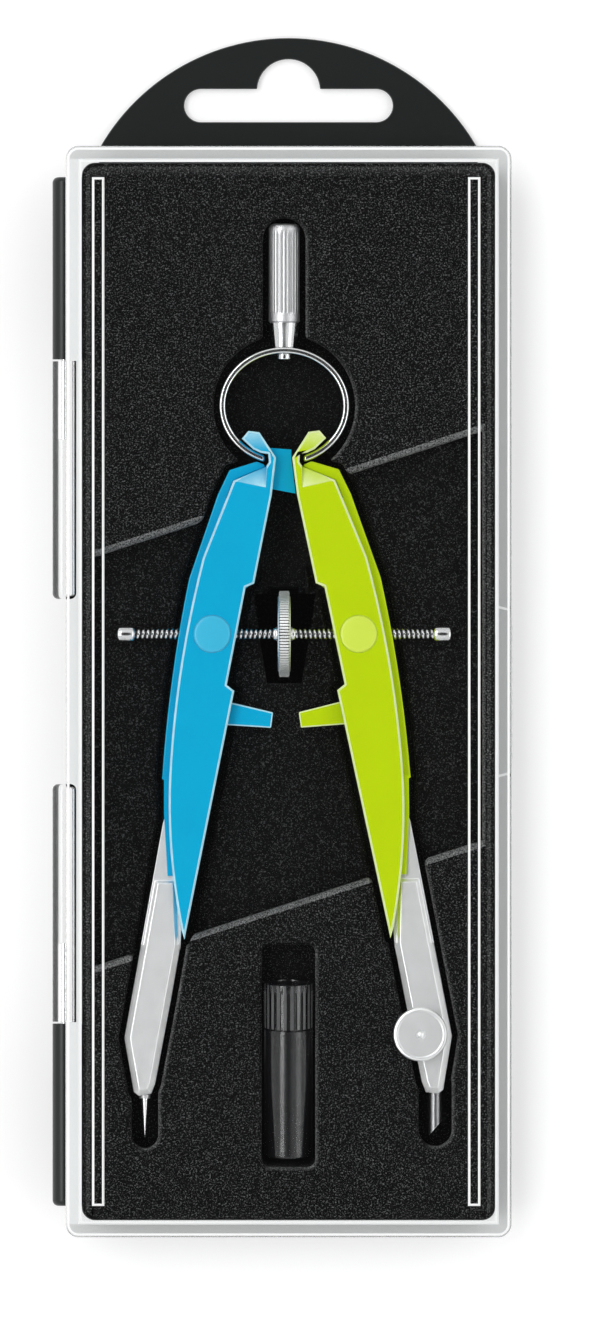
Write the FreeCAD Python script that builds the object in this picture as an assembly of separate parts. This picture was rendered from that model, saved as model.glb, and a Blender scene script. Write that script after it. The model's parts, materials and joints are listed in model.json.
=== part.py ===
import FreeCAD, Part
import math
import os

# Drafting instrument case: a clear hinged lid over a black tray, whose insert holds a bow compass
# and a lead box. Millimetres. The case lies on its back: X runs from hinge to latch, Y towards the
# hang tab, Z towards the lid. The origin is the middle of the tray's back face.

# Lid
lid_width = 68.3
lid_length = 167.2
case_height = 20.0
lid_corner_radius = 2.0
lid_wall = 1.9
lid_panel = 1.8
lid_floor_gap = 1.2
lid_edge_round = 0.7
rail_height = 0.4
rail_width = 1.9
rail_length = 157.6
rail_inset_hinge_side = 5.0
rail_inset_latch_side = 5.7

# Latch flap, moulded in the lid's wall
latch_length = 24.0
latch_top = 16.0
latch_slit = 0.4
latch_slant = 1.0
latch_pad = 0.15
latch_rib_height = 0.15
latch_rib_width = 0.8
latch_rib_pitch = 1.63
latch_rib_count = 13

# Tray
tray_gap = 0.5
tray_wall = 1.3
tray_floor = 1.2
tray_height = 10.0
catch_height = 4.0
catch_radius = 0.3
catch_length = 18.0

# Hinge between tray and lid
hinge_outside = 0.25
hinge_height = 10.0
knuckle_radius = 1.85
knuckle_gap = 0.3
knuckle_end_round = 0.9
tray_knuckle_length = 28.0
lid_knuckle_length = 36.5
knuckle_end = 79.0
leaf_thickness = 1.2
hinge_pin_radius = 0.6
hinge_pin_end_cover = 2.5
hinge_pin_reach = 12.0
hinge_running_clearance = 0.05
press_clearance = 0.01

# Hang tab with its euro slot
tab_thickness = 0.8
tab_width = 58.3
tab_height = 17.0
tab_tongue = 12.0
tab_fit = 0.2
slot_length = 32.1
slot_width = 5.1
slot_above_lid = 6.6
bump_radius = 4.84
bump_rise = 2.3
stake_radius = 1.5
stake_spacing = 20.0

# Insert
insert_gap = 0.1
insert_top = 11.0
band_floor = 7.5
band_end_wall = 0.6
band_angle = 18.0
band_width = 59.7
band_centre = -1.1
pocket_clearance = 0.9
tip_room_radius = {"left": 1.15, "right": 1.65}
tip_room_end = 0.7
seat_gap = 0.1
wheel_pocket_clearance = 0.4

# Compass: its plan is drawn from the head pivot, u outwards from the middle line and v upwards
compass_x = -0.66
pivot_y = 34.0
compass_z = 9.4
cover_thickness = 1.7
core_thickness = 3.6
shank_thickness = 4.6
shank_bevel = 0.9
cover_bevel = 0.3
flange_thickness = 0.5
flange_top = -47.0
inlay_gap = 0.02
leg_splay = {"left": 0.0, "right": 0.8}

# Handle and ring spring
grip_radius = 2.38
grip_length = 15.2
grip_end_round = 0.5
neck_length = 3.7
neck_small_radius = 1.92
neck_stem_radius = 1.0
neck_stem_length = 8.0
spigot_radius = 0.7
ring_nut_radius = 1.17
ring_nut_height = 0.9
ring_width = 20.0
ring_height = 18.1
ring_band = 1.0
ring_depth = 4.0
ring_top = 18.9
ring_gap = 6.0

# Head pivot
pivot_radius = 0.6
pivot_length = 3.0
pivot_clearance = 0.05
lug_radius = 1.4
lug_gap = 0.1
tongue_thickness = 3.0

# Spindle, adjusting wheel and the nuts that it turns in
spindle_drop = 25.17
spindle_radius = 0.9
spindle_length = 51.4
end_cap_radius = 1.33
end_cap_length = 2.75
wheel_radius = 6.6
wheel_width = 1.95
wheel_edge = 0.25
wheel_grooves = 88
groove_depth = 0.2
collar_radius = 1.11
collar_length = 0.75
trunnion_out = 11.07
nut_radius = 2.0
nut_clearance = 0.08
thread_clearance = 0.17
spindle_way = 1.25
button_radius = 2.76
button_rise = 0.35
button_clearance = 0.1
button_round = 0.25

# Release levers
lever_pivot = (11.6, -37.5)
lever_eye_radius = 1.5
lever_post_radius = 0.6
lever_thickness = 2.4
lever_slot_clearance = 0.7
lever_clearance = 0.05
spring_leaf = 0.2
spring_depth = 2.0

# Needle leg
needle_out = 21.4
needle_radius = 0.58
needle_tip = -102.5
needle_cone = 6.0
needle_root = -86.0
ferrule_radius = 0.85
ferrule_top = -93.5
ferrule_bottom = -96.5

# Lead leg
lead_out = 23.18
lead_radius = 1.0
lead_tip = -102.2
lead_root = -83.0
lead_chisel = 2.3
lead_fit = 0.03
screw_place = (20.9, -86.6)
screw_head_radius = 4.14
screw_head_height = 2.5
screw_head_round = 0.5
screw_dimple_radius = 0.7
screw_dimple_depth = 0.4
screw_stem_radius = 0.9
screw_stem_clearance = 0.06
screw_head_gap = 0.15
clamp_nut_radius = 1.9
clamp_nut_height = 1.0
clamp_slit = 0.35

# Lead box
box_x = 0.0
box_radius = 3.75
box_from_end = 8.2
box_tilt = 8.0
box_tube_length = 19.95
box_cap_length = 7.1
box_neck_radius = 3.0
box_neck_length = 5.0
box_neck_clearance = 0.08
box_bore = 2.4
box_bottom_wall = 1.2
box_end_round = 0.5
cap_dish_depth = 0.8
cap_dish_wall = 0.8
cap_stop_gap = 0.2
cap_ring_length = 1.2
cap_rib_count = 22
cap_rib_height = 0.3
box_pocket_side = 0.35
box_pocket_end = 1.0
box_finger_space = 5.8
box_pocket_round = 1.2
box_seat = 4.85
spare_lead_length = 18.0
spare_lead_ring = 1.3
spare_lead_count = 3

# Places worked out from the sizes above
lid_half_x = lid_width / 2
lid_half_y = lid_length / 2
lid_top = case_height - rail_height
lid_ceiling = lid_top - lid_panel
tray_half_x = lid_half_x - lid_wall - tray_gap
tray_half_y = lid_half_y - lid_wall - tray_gap
insert_half_x = tray_half_x - tray_wall - insert_gap
insert_half_y = tray_half_y - tray_wall - insert_gap
hinge_x = -lid_half_x - hinge_outside
core_low = compass_z - core_thickness / 2
core_high = compass_z + core_thickness / 2
rear_low = core_low - cover_thickness
front_high = core_high + cover_thickness
shank_low = compass_z - shank_thickness / 2
shank_high = compass_z + shank_thickness / 2
pocket_floor = rear_low - seat_gap
spindle_y = pivot_y - spindle_drop
box_axis_z = box_seat + box_radius
box_bottom = box_from_end - insert_half_y
box_cap_y = box_bottom + box_tube_length
box_middle_y = box_bottom + (box_tube_length + box_cap_length) / 2
SIDES = ("left", "right")

# Plan outlines of one leg, in (u, v); a pair of points is an arc through the first to the second
FRONT_OUTLINE = (
    (6.5, 4.8), (5.5, 6.0), (3.8, 5.8), (1.25, 1.9), (1.9, -3.8), (4.6, -17.45),
    (5.9, -18.0), (8.8, -33.0), (7.65, -33.9), (15.3, -72.1), (15.75, -70.6),
    ((17.5, -58.0), (17.5, -44.5)), ((15.9, -30.0), (12.5, -13.5)), (7.8, -1.65), (2.85, 0.45),
    (2.35, 1.2), (2.45, 2.45), (3.6, 2.62), (4.75, 3.15),
)
REAR_OUTLINE = (
    (4.2, 1.3), (3.0, 0.8), (2.7, -4.5), (5.4, -17.8), (6.7, -18.8), (9.6, -33.0), (8.5, -34.4),
    (14.3, -62.3), (17.9, -62.3), (18.45, -52.8), (18.45, -47.6), (18.75, -47.4),
    ((17.0, -30.5), (14.6, -16.7)), (10.2, -3.8), (8.4, 0.0),
)
CORE_OUTLINE = (
    (3.3, -4.6), (6.0, -18.3), (7.4, -19.3), (10.2, -32.9), (9.6, -34.9), (15.0, -62.3), (15.95, -72.9),
    (22.0, -72.9), (18.62, -54.2), (17.2, -50.0), (16.9, -46.0), ((15.3, -30.0), (12.9, -17.0)), (8.6, -4.6),
)
SHANK_OUTLINE = (
    (15.9, -72.9), (17.4, -81.4), (19.8, -94.2), (20.4, -95.8), (22.3, -96.1), (23.1, -95.5),
    (24.55, -87.2), (20.13, -62.6), (16.2, -62.6),
)
TONGUE_OUTLINE = ((2.4, 3.4), (-1.1, 3.15), (-1.1, 1.7), (-1.75, -3.6), (2.0, -2.9), (2.0, 1.5))
LEVER_OUTLINE = ((1.7, -37.2), (8.2, -35.65), (11.4, -36.0), (11.4, -39.0), (2.0, -39.6))
HEAD_BOTTOM = -4.3
FACET_LINE = ((8.1, -1.6), (2.8, -2.7))
FACET_SIDE = (2.7, 0.65)
FACET_DROP = 1.0


def vector(u, v, z=0.0):
    return FreeCAD.Vector(u, v, z)


def outline_face(points):
    """Flat face inside a closed outline of straight and round stretches."""
    here = vector(*points[0])
    edges = []
    for step in points[1:] + points[:1]:
        if isinstance(step[0], tuple):
            target = vector(*step[1])
            edges.append(Part.Arc(here, vector(*step[0]), target).toShape())
        else:
            target = vector(*step)
            edges.append(Part.LineSegment(here, target).toShape())
        here = target
    return Part.Face(Part.Wire(edges))


def slab(face, low, high):
    return face.translated(vector(0, 0, low)).extrude(vector(0, 0, high - low))


def block(x_low, x_high, y_low, y_high, z_low, z_high):
    size = (x_high - x_low, y_high - y_low, z_high - z_low)
    return Part.makeBox(*size, vector(x_low, y_low, z_low))


def rod_x(radius, length, x, y, z):
    return Part.makeCylinder(radius, length, vector(x, y, z), vector(1, 0, 0))


def rod_y(radius, length, x, y, z):
    return Part.makeCylinder(radius, length, vector(x, y, z), vector(0, 1, 0))


def rod_z(radius, low, high, x=0.0, y=0.0):
    return Part.makeCylinder(radius, high - low, vector(x, y, low), vector(0, 0, 1))


def edges_at(shape, test):
    return [edge for edge in shape.Edges if all(test(vertex.Point) for vertex in edge.Vertexes)]


def rounded_block(half_x, half_y, low, high, radius):
    solid = block(-half_x, half_x, -half_y, half_y, low, high)
    upright = [e for e in solid.Edges if abs(e.BoundBox.ZLength - (high - low)) < 1e-6]
    return solid.makeFillet(radius, upright)


def bevel_level(solid, level, size):
    """Bevel every edge that lies at one height."""
    return solid.makeChamfer(size, edges_at(solid, lambda p: abs(p.z - level) < 1e-6))


def copies_round(shape, centre, axis, count):
    """Copies of a shape, spread evenly round an axis."""
    return [shape.rotated(centre, axis, 360 * number / count) for number in range(count)]


def tipped(shape):
    """Tip the lead box's shapes so that the cap lies higher."""
    return shape.rotated(vector(box_x, box_middle_y, box_axis_z), vector(1, 0), box_tilt)


def splayed(shape, side):
    """Turn a leg's piece about the head pivot to its own splay."""
    return shape.rotated(vector(0, 0), vector(0, 0, 1), leg_splay[side])


def splayed_point(point, side):
    turned = Part.Vertex(*point, 0.0).rotated(vector(0, 0), vector(0, 0, 1), leg_splay[side])
    return turned.Point.x, turned.Point.y


def in_case(shape, side="right"):
    """Carry a shape from the compass plan into the case, mirrored for the left leg."""
    if side == "left":
        shape = shape.mirror(vector(0, 0), vector(1, 0))
    return shape.translated(vector(compass_x, pivot_y))


def trunnion_place(side):
    """The nut lies on the spindle's axis, where the leg's own splay brings it."""
    return splayed_point((trunnion_out, -spindle_drop), side)[0], -spindle_drop


def save(name, shape):
    if isinstance(shape, list):
        shape = Part.makeCompound(shape)
    shape.exportStep(f"parts/{name}.step")
    print(f"{name}: {len(shape.Solids)} solid(s), {shape.Volume:.1f} mm3, valid {shape.isValid()}")


def knuckles(start, length, free_end):
    """One pair of hinge knuckles, round at the free end and mirrored about the middle of the case."""
    knuckle = rod_y(knuckle_radius, length, hinge_x, start, hinge_height)
    knuckle = knuckle.makeFillet(knuckle_end_round, edges_at(knuckle, lambda p: abs(p.y - free_end) < 1e-6))
    return [knuckle, knuckle.mirror(vector(0, 0), vector(0, 1))]


def tray_knuckle_start():
    return knuckle_end - tray_knuckle_length


def lid_knuckle_start():
    return tray_knuckle_start() - knuckle_gap - lid_knuckle_length


def pin_starts():
    """Lower end of each hinge pin: it reaches from the tray's knuckle into the lid's."""
    length = pin_length()
    top = knuckle_end - hinge_pin_end_cover
    return (top - length, -top)


def pin_length():
    return tray_knuckle_length - hinge_pin_end_cover + knuckle_gap + hinge_pin_reach


def make_hinge_pins():
    return [rod_y(hinge_pin_radius, pin_length(), hinge_x, y, hinge_height) for y in pin_starts()]


def pin_bores(clearance):
    bores = []
    for y in pin_starts():
        bores.append(rod_y(hinge_pin_radius + clearance, pin_length(), hinge_x, y, hinge_height))
    return bores


def latch_cut():
    """Two slanted slits that free the latch flap from the lid's wall."""
    slits = []
    inner = lid_half_x - lid_wall - 1
    outer = lid_half_x + 1
    for sign in (1, -1):
        root = sign * (latch_length / 2 + latch_slant)
        edge = sign * latch_length / 2
        points = ((inner, root), (outer, edge), (outer, edge + sign * latch_slit),
                  (inner, root + sign * latch_slit))
        slits.append(slab(outline_face(points), 0, latch_top))
    return slits


def latch_grip():
    """Thumb pad on the flap with its cross ribs."""
    half = latch_length / 2 - latch_slit
    face = lid_half_x + latch_pad
    low = lid_floor_gap + lid_edge_round
    pieces = [block(lid_half_x - lid_wall / 2, face, -half, half, low, latch_top)]
    first = -latch_rib_pitch * (latch_rib_count - 1) / 2
    for number in range(latch_rib_count):
        y = first + number * latch_rib_pitch
        pieces.append(block(face - latch_pad, face + latch_rib_height, y - latch_rib_width / 2,
                            y + latch_rib_width / 2, low, latch_top))
    return pieces


def make_lid():
    shell = rounded_block(lid_half_x, lid_half_y, lid_floor_gap, lid_top, lid_corner_radius)
    shell = shell.makeFillet(lid_edge_round, edges_at(shell, lambda p: abs(p.z - lid_top) < 1e-6))
    room_x = lid_half_x - lid_wall
    room_y = lid_half_y - lid_wall
    shell = shell.cut(block(-room_x, room_x, -room_y, room_y, 0, lid_ceiling))
    above_hinge = hinge_height + knuckle_gap
    shell = shell.cut(block(-lid_half_x - 1, 0, -room_y, room_y, 0, above_hinge))
    over_knuckle = hinge_height + knuckle_radius + knuckle_gap
    start = tray_knuckle_start() - knuckle_gap
    for low in (start, -room_y):
        shell = shell.cut(block(-lid_half_x - 1, -room_x, low, low + room_y - start, 0, over_knuckle))
    rails = []
    for x in (-lid_half_x + rail_inset_hinge_side, lid_half_x - rail_inset_latch_side):
        rails.append(block(x - rail_width / 2, x + rail_width / 2, -rail_length / 2, rail_length / 2,
                           lid_ceiling + lid_panel / 2, case_height))
    free_end = lid_knuckle_start()
    lid = shell.fuse(knuckles(free_end, lid_knuckle_length, free_end) + rails + latch_grip())
    lid = lid.cut(pin_bores(hinge_running_clearance) + latch_cut())
    return lid.removeSplitter()


def make_tray():
    shell = rounded_block(tray_half_x, tray_half_y, 0, tray_height, lid_corner_radius)
    room_x = tray_half_x - tray_wall
    room_y = tray_half_y - tray_wall
    shell = shell.cut(block(-room_x, room_x, -room_y, room_y, tray_floor, case_height))
    leaves = []
    for low in (tray_knuckle_start(), -knuckle_end):
        leaves.append(block(hinge_x, -tray_half_x + tray_wall / 2, low, low + tray_knuckle_length,
                            hinge_height - leaf_thickness, hinge_height))
    catch = rod_y(catch_radius, catch_length, tray_half_x, -catch_length / 2, catch_height)
    tray = shell.fuse(knuckles(tray_knuckle_start(), tray_knuckle_length, knuckle_end) + leaves + [catch])
    tray = tray.cut(pin_bores(press_clearance) + [tab_recess()]).fuse(tab_stakes(press_clearance))
    return tray.removeSplitter()


def tab_recess():
    half = tab_width / 2 + tab_fit
    return block(-half, half, tray_half_y - tab_tongue, tray_half_y + 1, -1, tab_thickness)


def tab_stakes(clearance):
    """Moulded stakes that hold the tab in the tray's back."""
    y = tray_half_y - tab_tongue / 2
    stakes = []
    for x in (-stake_spacing, 0.0, stake_spacing):
        stakes.append(rod_z(stake_radius - clearance, 0, tab_thickness + tray_floor / 4, x, y))
    return stakes


def make_hang_tab():
    half = tab_width / 2
    root = tray_half_y - tab_tongue + tab_fit
    tab = outline_face(((-half, root), (half, root), (half, lid_half_y),
                        ((0, lid_half_y + tab_height), (-half, lid_half_y))))
    tab = slab(tab, 0, tab_thickness)
    y = lid_half_y + slot_above_lid
    reach = (slot_length - slot_width) / 2
    slot = [block(-reach, reach, y - slot_width / 2, y + slot_width / 2, -1, tab_thickness + 1)]
    for x in (-reach, reach):
        slot.append(rod_z(slot_width / 2, -1, tab_thickness + 1, x, y))
    bump = rod_z(bump_radius, -1, tab_thickness + 1, 0, y + bump_rise)
    below = block(-bump_radius, bump_radius, y - 2 * bump_radius, y, -2, tab_thickness + 2)
    return tab.cut(slot + [bump.cut(below)] + tab_stakes(0.0))


def leg_plan(side):
    """Silhouette of one leg with room round its point, in the compass plan."""
    faces = [splayed(outline_face(o), side)
             for o in (FRONT_OUTLINE, REAR_OUTLINE, CORE_OUTLINE, SHANK_OUTLINE)]
    out, tip = (needle_out, needle_tip)
    if side == "right":
        out, tip = (lead_out, lead_tip)
        nut = Part.Circle(vector(*screw_place), vector(0, 0, 1), clamp_nut_radius)
        faces.append(Part.Face(Part.Wire(nut.toShape())))
    radius = tip_room_radius[side]
    end = tip - tip_room_end
    top = SHANK_OUTLINE[2][1]
    faces.append(outline_face(((out + radius, top), (out - radius, top), (out - radius, end + radius),
                               ((out, end), (out + radius, end + radius)))))
    return faces


def leg_pocket(side):
    """Room for one leg: its silhouette, widened by the pocket's clearance."""
    faces = [face.makeOffset2D(pocket_clearance) for face in leg_plan(side)]
    cutters = [slab(face, pocket_floor, case_height) for face in faces]
    return [in_case(cutter, side) for cutter in cutters]


def head_pocket():
    """Room for the handle, the ring spring and the wheel."""
    half = grip_radius + pocket_clearance
    round_end = pivot_y + ring_top + neck_length + grip_length - grip_radius
    ring_y = pivot_y + ring_top - ring_height / 2
    ring_radius = ring_width / 2 + pocket_clearance
    wheel_room = wheel_radius + wheel_pocket_clearance
    wheel_half = wheel_width / 2 + collar_length + wheel_pocket_clearance
    return [
        block(compass_x - half, compass_x + half, ring_y, round_end, pocket_floor, case_height),
        rod_z(half, pocket_floor, case_height, compass_x, round_end),
        rod_z(ring_radius, pocket_floor, case_height, compass_x, ring_y),
        block(compass_x - half, compass_x + half, spindle_y, pivot_y, pocket_floor, case_height),
        block(compass_x - wheel_half, compass_x + wheel_half, spindle_y - wheel_room,
              spindle_y + wheel_room, compass_z - wheel_room, case_height),
    ]


def box_pocket():
    half = box_radius + box_pocket_side
    low = box_bottom - box_pocket_end
    high = box_cap_y + box_cap_length + box_finger_space
    pocket = block(box_x - half, box_x + half, low, high, box_seat - seat_gap, case_height)
    upright = [e for e in pocket.Edges if e.BoundBox.ZLength > case_height / 4]
    return tipped(pocket.makeFillet(box_pocket_round, upright))


def make_insert():
    """Block with a flange over the tray's rim, a lowered band across it, and the pockets."""
    body = rounded_block(insert_half_x, insert_half_y, tray_floor, insert_top, lid_corner_radius / 2)
    flange = rounded_block(tray_half_x - insert_gap, tray_half_y - insert_gap, tray_height, insert_top,
                           lid_corner_radius)
    band = block(-lid_width, lid_width, -band_width / 2, band_width / 2, band_floor, case_height)
    band = band.rotated(vector(0, 0), vector(0, 0, 1), band_angle).translated(vector(0, band_centre))
    reach = insert_half_x - band_end_wall
    band = band.common(block(-reach, reach, -lid_length, lid_length, 0, case_height))
    cutters = [band, box_pocket()] + head_pocket()
    for side in SIDES:
        cutters += leg_pocket(side)
    return body.fuse(flange).cut(cutters).removeSplitter()


def make_grip():
    low = pivot_y + ring_top + neck_length
    grip = rod_y(grip_radius, grip_length, compass_x, low, compass_z)
    grip = grip.makeFillet(grip_end_round, edges_at(grip, lambda p: p.y > low + grip_length / 2))
    return grip.cut(rod_y(neck_stem_radius + press_clearance, neck_stem_length, compass_x, low, compass_z))


def make_neck():
    low = pivot_y + ring_top
    cone = Part.makeCone(neck_small_radius, grip_radius, neck_length, vector(compass_x, low, compass_z),
                         vector(0, 1, 0))
    stem = rod_y(neck_stem_radius, neck_stem_length, compass_x, low + neck_length, compass_z)
    spigot_length = ring_band + ring_nut_height
    spigot = rod_y(spigot_radius, spigot_length, compass_x, low - spigot_length, compass_z)
    saddle = ring_oval(0.0)
    return cone.fuse([stem, spigot]).cut(saddle.cut(spigot)).removeSplitter()


def ring_oval(inset):
    """Oval slug of the ring spring's outline, drawn in by the inset."""
    centre = vector(compass_x, pivot_y + ring_top - ring_height / 2, compass_z - ring_depth / 2)
    oval = Part.Ellipse(centre, ring_width / 2 - inset, ring_height / 2 - inset).toShape()
    return Part.Face(Part.Wire(oval)).extrude(vector(0, 0, ring_depth))


def make_ring():
    ring = ring_oval(0.0).cut(ring_oval(ring_band))
    middle = pivot_y + ring_top - ring_height / 2
    mouth = block(compass_x - ring_gap / 2, compass_x + ring_gap / 2, pivot_y - 1, middle, 0, case_height)
    hole = rod_y(spigot_radius + press_clearance, ring_height, compass_x, middle, compass_z)
    return ring.cut([mouth, hole])


def make_ring_nut():
    low = pivot_y + ring_top - ring_band - ring_nut_height
    nut = rod_y(ring_nut_radius, ring_nut_height + ring_band, compass_x, low, compass_z)
    hole = rod_y(spigot_radius + press_clearance, ring_nut_height + ring_band, compass_x, low, compass_z)
    return nut.common(ring_oval(ring_band)).cut(hole)


def make_pivot_pin():
    return in_case(rod_z(pivot_radius, rear_low + lug_gap, rear_low + lug_gap + pivot_length))


def facet_cut():
    """Wedge that slopes the front cover down to the ring's notch."""
    start, end = (vector(*point, front_high) for point in FACET_LINE)
    side = vector(*FACET_SIDE, front_high - FACET_DROP)
    slope = Part.Face(Part.makePolygon([start, end, side, start]))
    return slope.extrude(vector(0, 0, 3 * FACET_DROP))


def plan_above(v):
    """Wide patch of the compass plan above one height."""
    return Part.makePlane(2 * lid_width, lid_length, vector(-lid_width, v))


def foot_flange():
    """Low step of the front cover over the top of the shank."""
    step = outline_face(REAR_OUTLINE).cut(plan_above(flange_top))
    return slab(step, core_high, core_high + flange_thickness)


def make_front_cover(side):
    outline = outline_face(FRONT_OUTLINE)
    cover = bevel_level(slab(outline, core_high, front_high), front_high, cover_bevel)
    head = outline.common(plan_above(HEAD_BOTTOM))
    cover = cover.fuse([slab(head, core_low, core_high), foot_flange()]).cut(facet_cut())
    cover = splayed(cover, side)
    u, v = trunnion_place(side)
    cover = cover.cut(rod_z(button_radius + button_clearance, core_low, case_height, u, v))
    if side == "left":
        tongue = slab(outline_face(TONGUE_OUTLINE), compass_z - tongue_thickness / 2,
                      compass_z + tongue_thickness / 2)
        socket = rod_z(pivot_radius + pivot_clearance, 0, rear_low + lug_gap + pivot_length + lug_gap)
        cover = cover.fuse(tongue).cut(socket)
    return in_case(cover.removeSplitter(), side)


def make_rear_cover(side):
    """Leg body: a back plate whose walls stand round the metal core."""
    body = bevel_level(slab(outline_face(REAR_OUTLINE), rear_low, core_high), rear_low, cover_bevel)
    channel = outline_face(CORE_OUTLINE).makeOffset2D(inlay_gap)
    head = outline_face(FRONT_OUTLINE).makeOffset2D(inlay_gap).common(plan_above(HEAD_BOTTOM))
    rooms = [slab(room, core_low, core_high) for room in (channel, head)]
    cover = body.cut(rooms + lever_slot())
    cover = cover.fuse(rod_z(lever_post_radius, core_low - cover_thickness / 2, core_high, *lever_pivot))
    cover = splayed(cover, side)
    u, v = trunnion_place(side)
    cover = cover.cut(rod_x(spindle_way, trunnion_out * 2, 0, v, compass_z))
    if side == "right":
        arm = block(0, REAR_OUTLINE[0][0], -lug_radius, lug_radius / 2, rear_low, core_low)
        lug = arm.fuse(rod_z(lug_radius, rear_low, core_low))
        cover = cover.fuse(lug).cut(rod_z(pivot_radius + pivot_clearance, 0, case_height))
    return in_case(cover.removeSplitter(), side)


def lever_slot():
    """Opening in the leg's core that the release lever swings in."""
    u, v = lever_pivot
    reach = lever_eye_radius + lever_slot_clearance
    return [block(0, u, v - reach, v + reach, core_low, core_high), rod_z(reach, core_low, core_high, u, v)]


def make_shank(side):
    core = slab(outline_face(CORE_OUTLINE), core_low, core_high).cut(lever_slot())
    foot = slab(outline_face(SHANK_OUTLINE), shank_low, shank_high)
    for level in (shank_low, shank_high):
        foot = bevel_level(foot, level, shank_bevel)
    cover_room = outline_face(FRONT_OUTLINE).makeOffset2D(inlay_gap)
    foot = foot.cut(slab(cover_room, core_high, case_height))
    shank = splayed(core.fuse(foot), side)
    u, v = trunnion_place(side)
    cuts = [rod_z(nut_radius + nut_clearance, core_low - 1, core_high + 1, u, v),
            rod_x(spindle_way, trunnion_out * 2, 0, v, compass_z)]
    if side == "left":
        length = needle_root - needle_tip
        cuts.append(rod_y(needle_radius + press_clearance, length, needle_out, needle_tip, compass_z))
        cuts.append(rod_y(ferrule_radius + press_clearance, ferrule_top - needle_tip, needle_out,
                          needle_tip, compass_z))
    else:
        cuts.append(rod_y(lead_radius + lead_fit, lead_root - lead_tip, lead_out, lead_tip, compass_z))
        cuts.append(rod_z(screw_stem_radius + screw_stem_clearance, 0, case_height, *screw_place))
        cuts.append(block(lead_out, lead_out + box_radius, lead_tip, lead_root,
                          compass_z - clamp_slit / 2, compass_z + clamp_slit / 2))
    return in_case(shank.cut(cuts).removeSplitter(), side)


def make_trunnion_nut(side):
    u, v = trunnion_place(side)
    nut = rod_z(nut_radius, core_low + lug_gap, core_high + lug_gap, u, v)
    return in_case(nut.cut(rod_x(spindle_radius + thread_clearance, trunnion_out * 2, 0, v, compass_z)), side)


def make_button(side):
    u, v = trunnion_place(side)
    top = front_high + button_rise
    button = rod_z(button_radius, core_high + lug_gap, top, u, v)
    return in_case(button.makeFillet(button_round, edges_at(button, lambda p: abs(p.z - top) < 1e-6)), side)


def make_lever(side):
    low = compass_z - lever_thickness / 2
    high = compass_z + lever_thickness / 2
    eye = rod_z(lever_eye_radius, low, high, *lever_pivot)
    lever = slab(outline_face(LEVER_OUTLINE), low, high).fuse(eye)
    lever = lever.cut(rod_z(lever_post_radius + lever_clearance, low, high, *lever_pivot))
    return in_case(splayed(lever.removeSplitter(), side), side)


def make_lever_spring(side):
    """Bent leaf between the slot's round end and the lever's eye."""
    u, v = lever_pivot
    outer = lever_eye_radius + lever_slot_clearance
    low = compass_z - spring_depth / 2
    high = compass_z + spring_depth / 2
    leaf = rod_z(outer, low, high, u, v).cut(rod_z(outer - spring_leaf, low, high, u, v))
    leaf = leaf.common(block(u + lever_eye_radius / 2, u + 2 * outer, v - outer, v + outer, low, high))
    return in_case(splayed(leaf, side), side)


def spindle_piece(radius, start, length):
    return rod_x(radius, length, compass_x + start, spindle_y, compass_z)


def make_spindle():
    return spindle_piece(spindle_radius, -spindle_length / 2, spindle_length)


def make_end_caps():
    caps = []
    for start in (-spindle_length / 2, spindle_length / 2 - end_cap_length):
        caps.append(spindle_piece(end_cap_radius, start, end_cap_length))
    return [cap.cut(make_spindle()) for cap in caps]


def make_collars():
    half = wheel_width / 2
    collars = [spindle_piece(collar_radius, start, collar_length) for start in (-half - collar_length, half)]
    return [collar.cut(make_spindle()) for collar in collars]


def make_wheel():
    wheel = spindle_piece(wheel_radius, -wheel_width / 2, wheel_width)
    rims = [e for e in wheel.Edges if e.BoundBox.XLength < 1e-6]
    wheel = wheel.makeChamfer(wheel_edge, rims)
    width = math.pi * wheel_radius / wheel_grooves
    rim = compass_z + wheel_radius
    groove = block(compass_x - wheel_width, compass_x + wheel_width, spindle_y - width / 2,
                   spindle_y + width / 2, rim - groove_depth, rim + groove_depth)
    grooves = copies_round(groove, vector(compass_x, spindle_y, compass_z), vector(1, 0), wheel_grooves)
    return wheel.cut(grooves + [make_spindle()])


def make_ferrule():
    length = ferrule_top - ferrule_bottom
    ferrule = rod_y(ferrule_radius, length, needle_out, ferrule_bottom, compass_z)
    return in_case(ferrule.cut(rod_y(needle_radius + press_clearance, length, needle_out, ferrule_bottom,
                                     compass_z)), "left")


def make_needle():
    shaft = rod_y(needle_radius, needle_root - needle_tip - needle_cone, needle_out, needle_tip + needle_cone,
                  compass_z)
    tip = vector(needle_out, needle_tip, compass_z)
    point = Part.makeCone(0, needle_radius, needle_cone, tip, vector(0, 1))
    return in_case(shaft.fuse(point).removeSplitter(), "left")


def make_lead():
    lead = rod_y(lead_radius, lead_root - lead_tip, lead_out, lead_tip, compass_z)
    wedge = outline_face(((lead_out - lead_radius, lead_tip), (lead_out + lead_radius, lead_tip),
                          (lead_out + lead_radius, lead_tip + lead_chisel)))
    return in_case(lead.cut(slab(wedge, 0, case_height)))


def make_thumb_screw():
    low = shank_high + screw_head_gap
    top = low + screw_head_height
    head = rod_z(screw_head_radius, low, top, *screw_place)
    head = head.makeFillet(screw_head_round, edges_at(head, lambda p: abs(p.z - top) < 1e-6))
    head = head.cut(rod_z(screw_dimple_radius, top - screw_dimple_depth, top, *screw_place))
    stem = rod_z(screw_stem_radius, rear_low + lug_gap, low, *screw_place)
    return in_case(head.fuse(stem).removeSplitter())


def make_clamp_nut():
    nut = rod_z(clamp_nut_radius, shank_low - clamp_nut_height, shank_low, *screw_place)
    return in_case(nut.cut(rod_z(screw_stem_radius + screw_stem_clearance, 0, case_height, *screw_place)))


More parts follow.
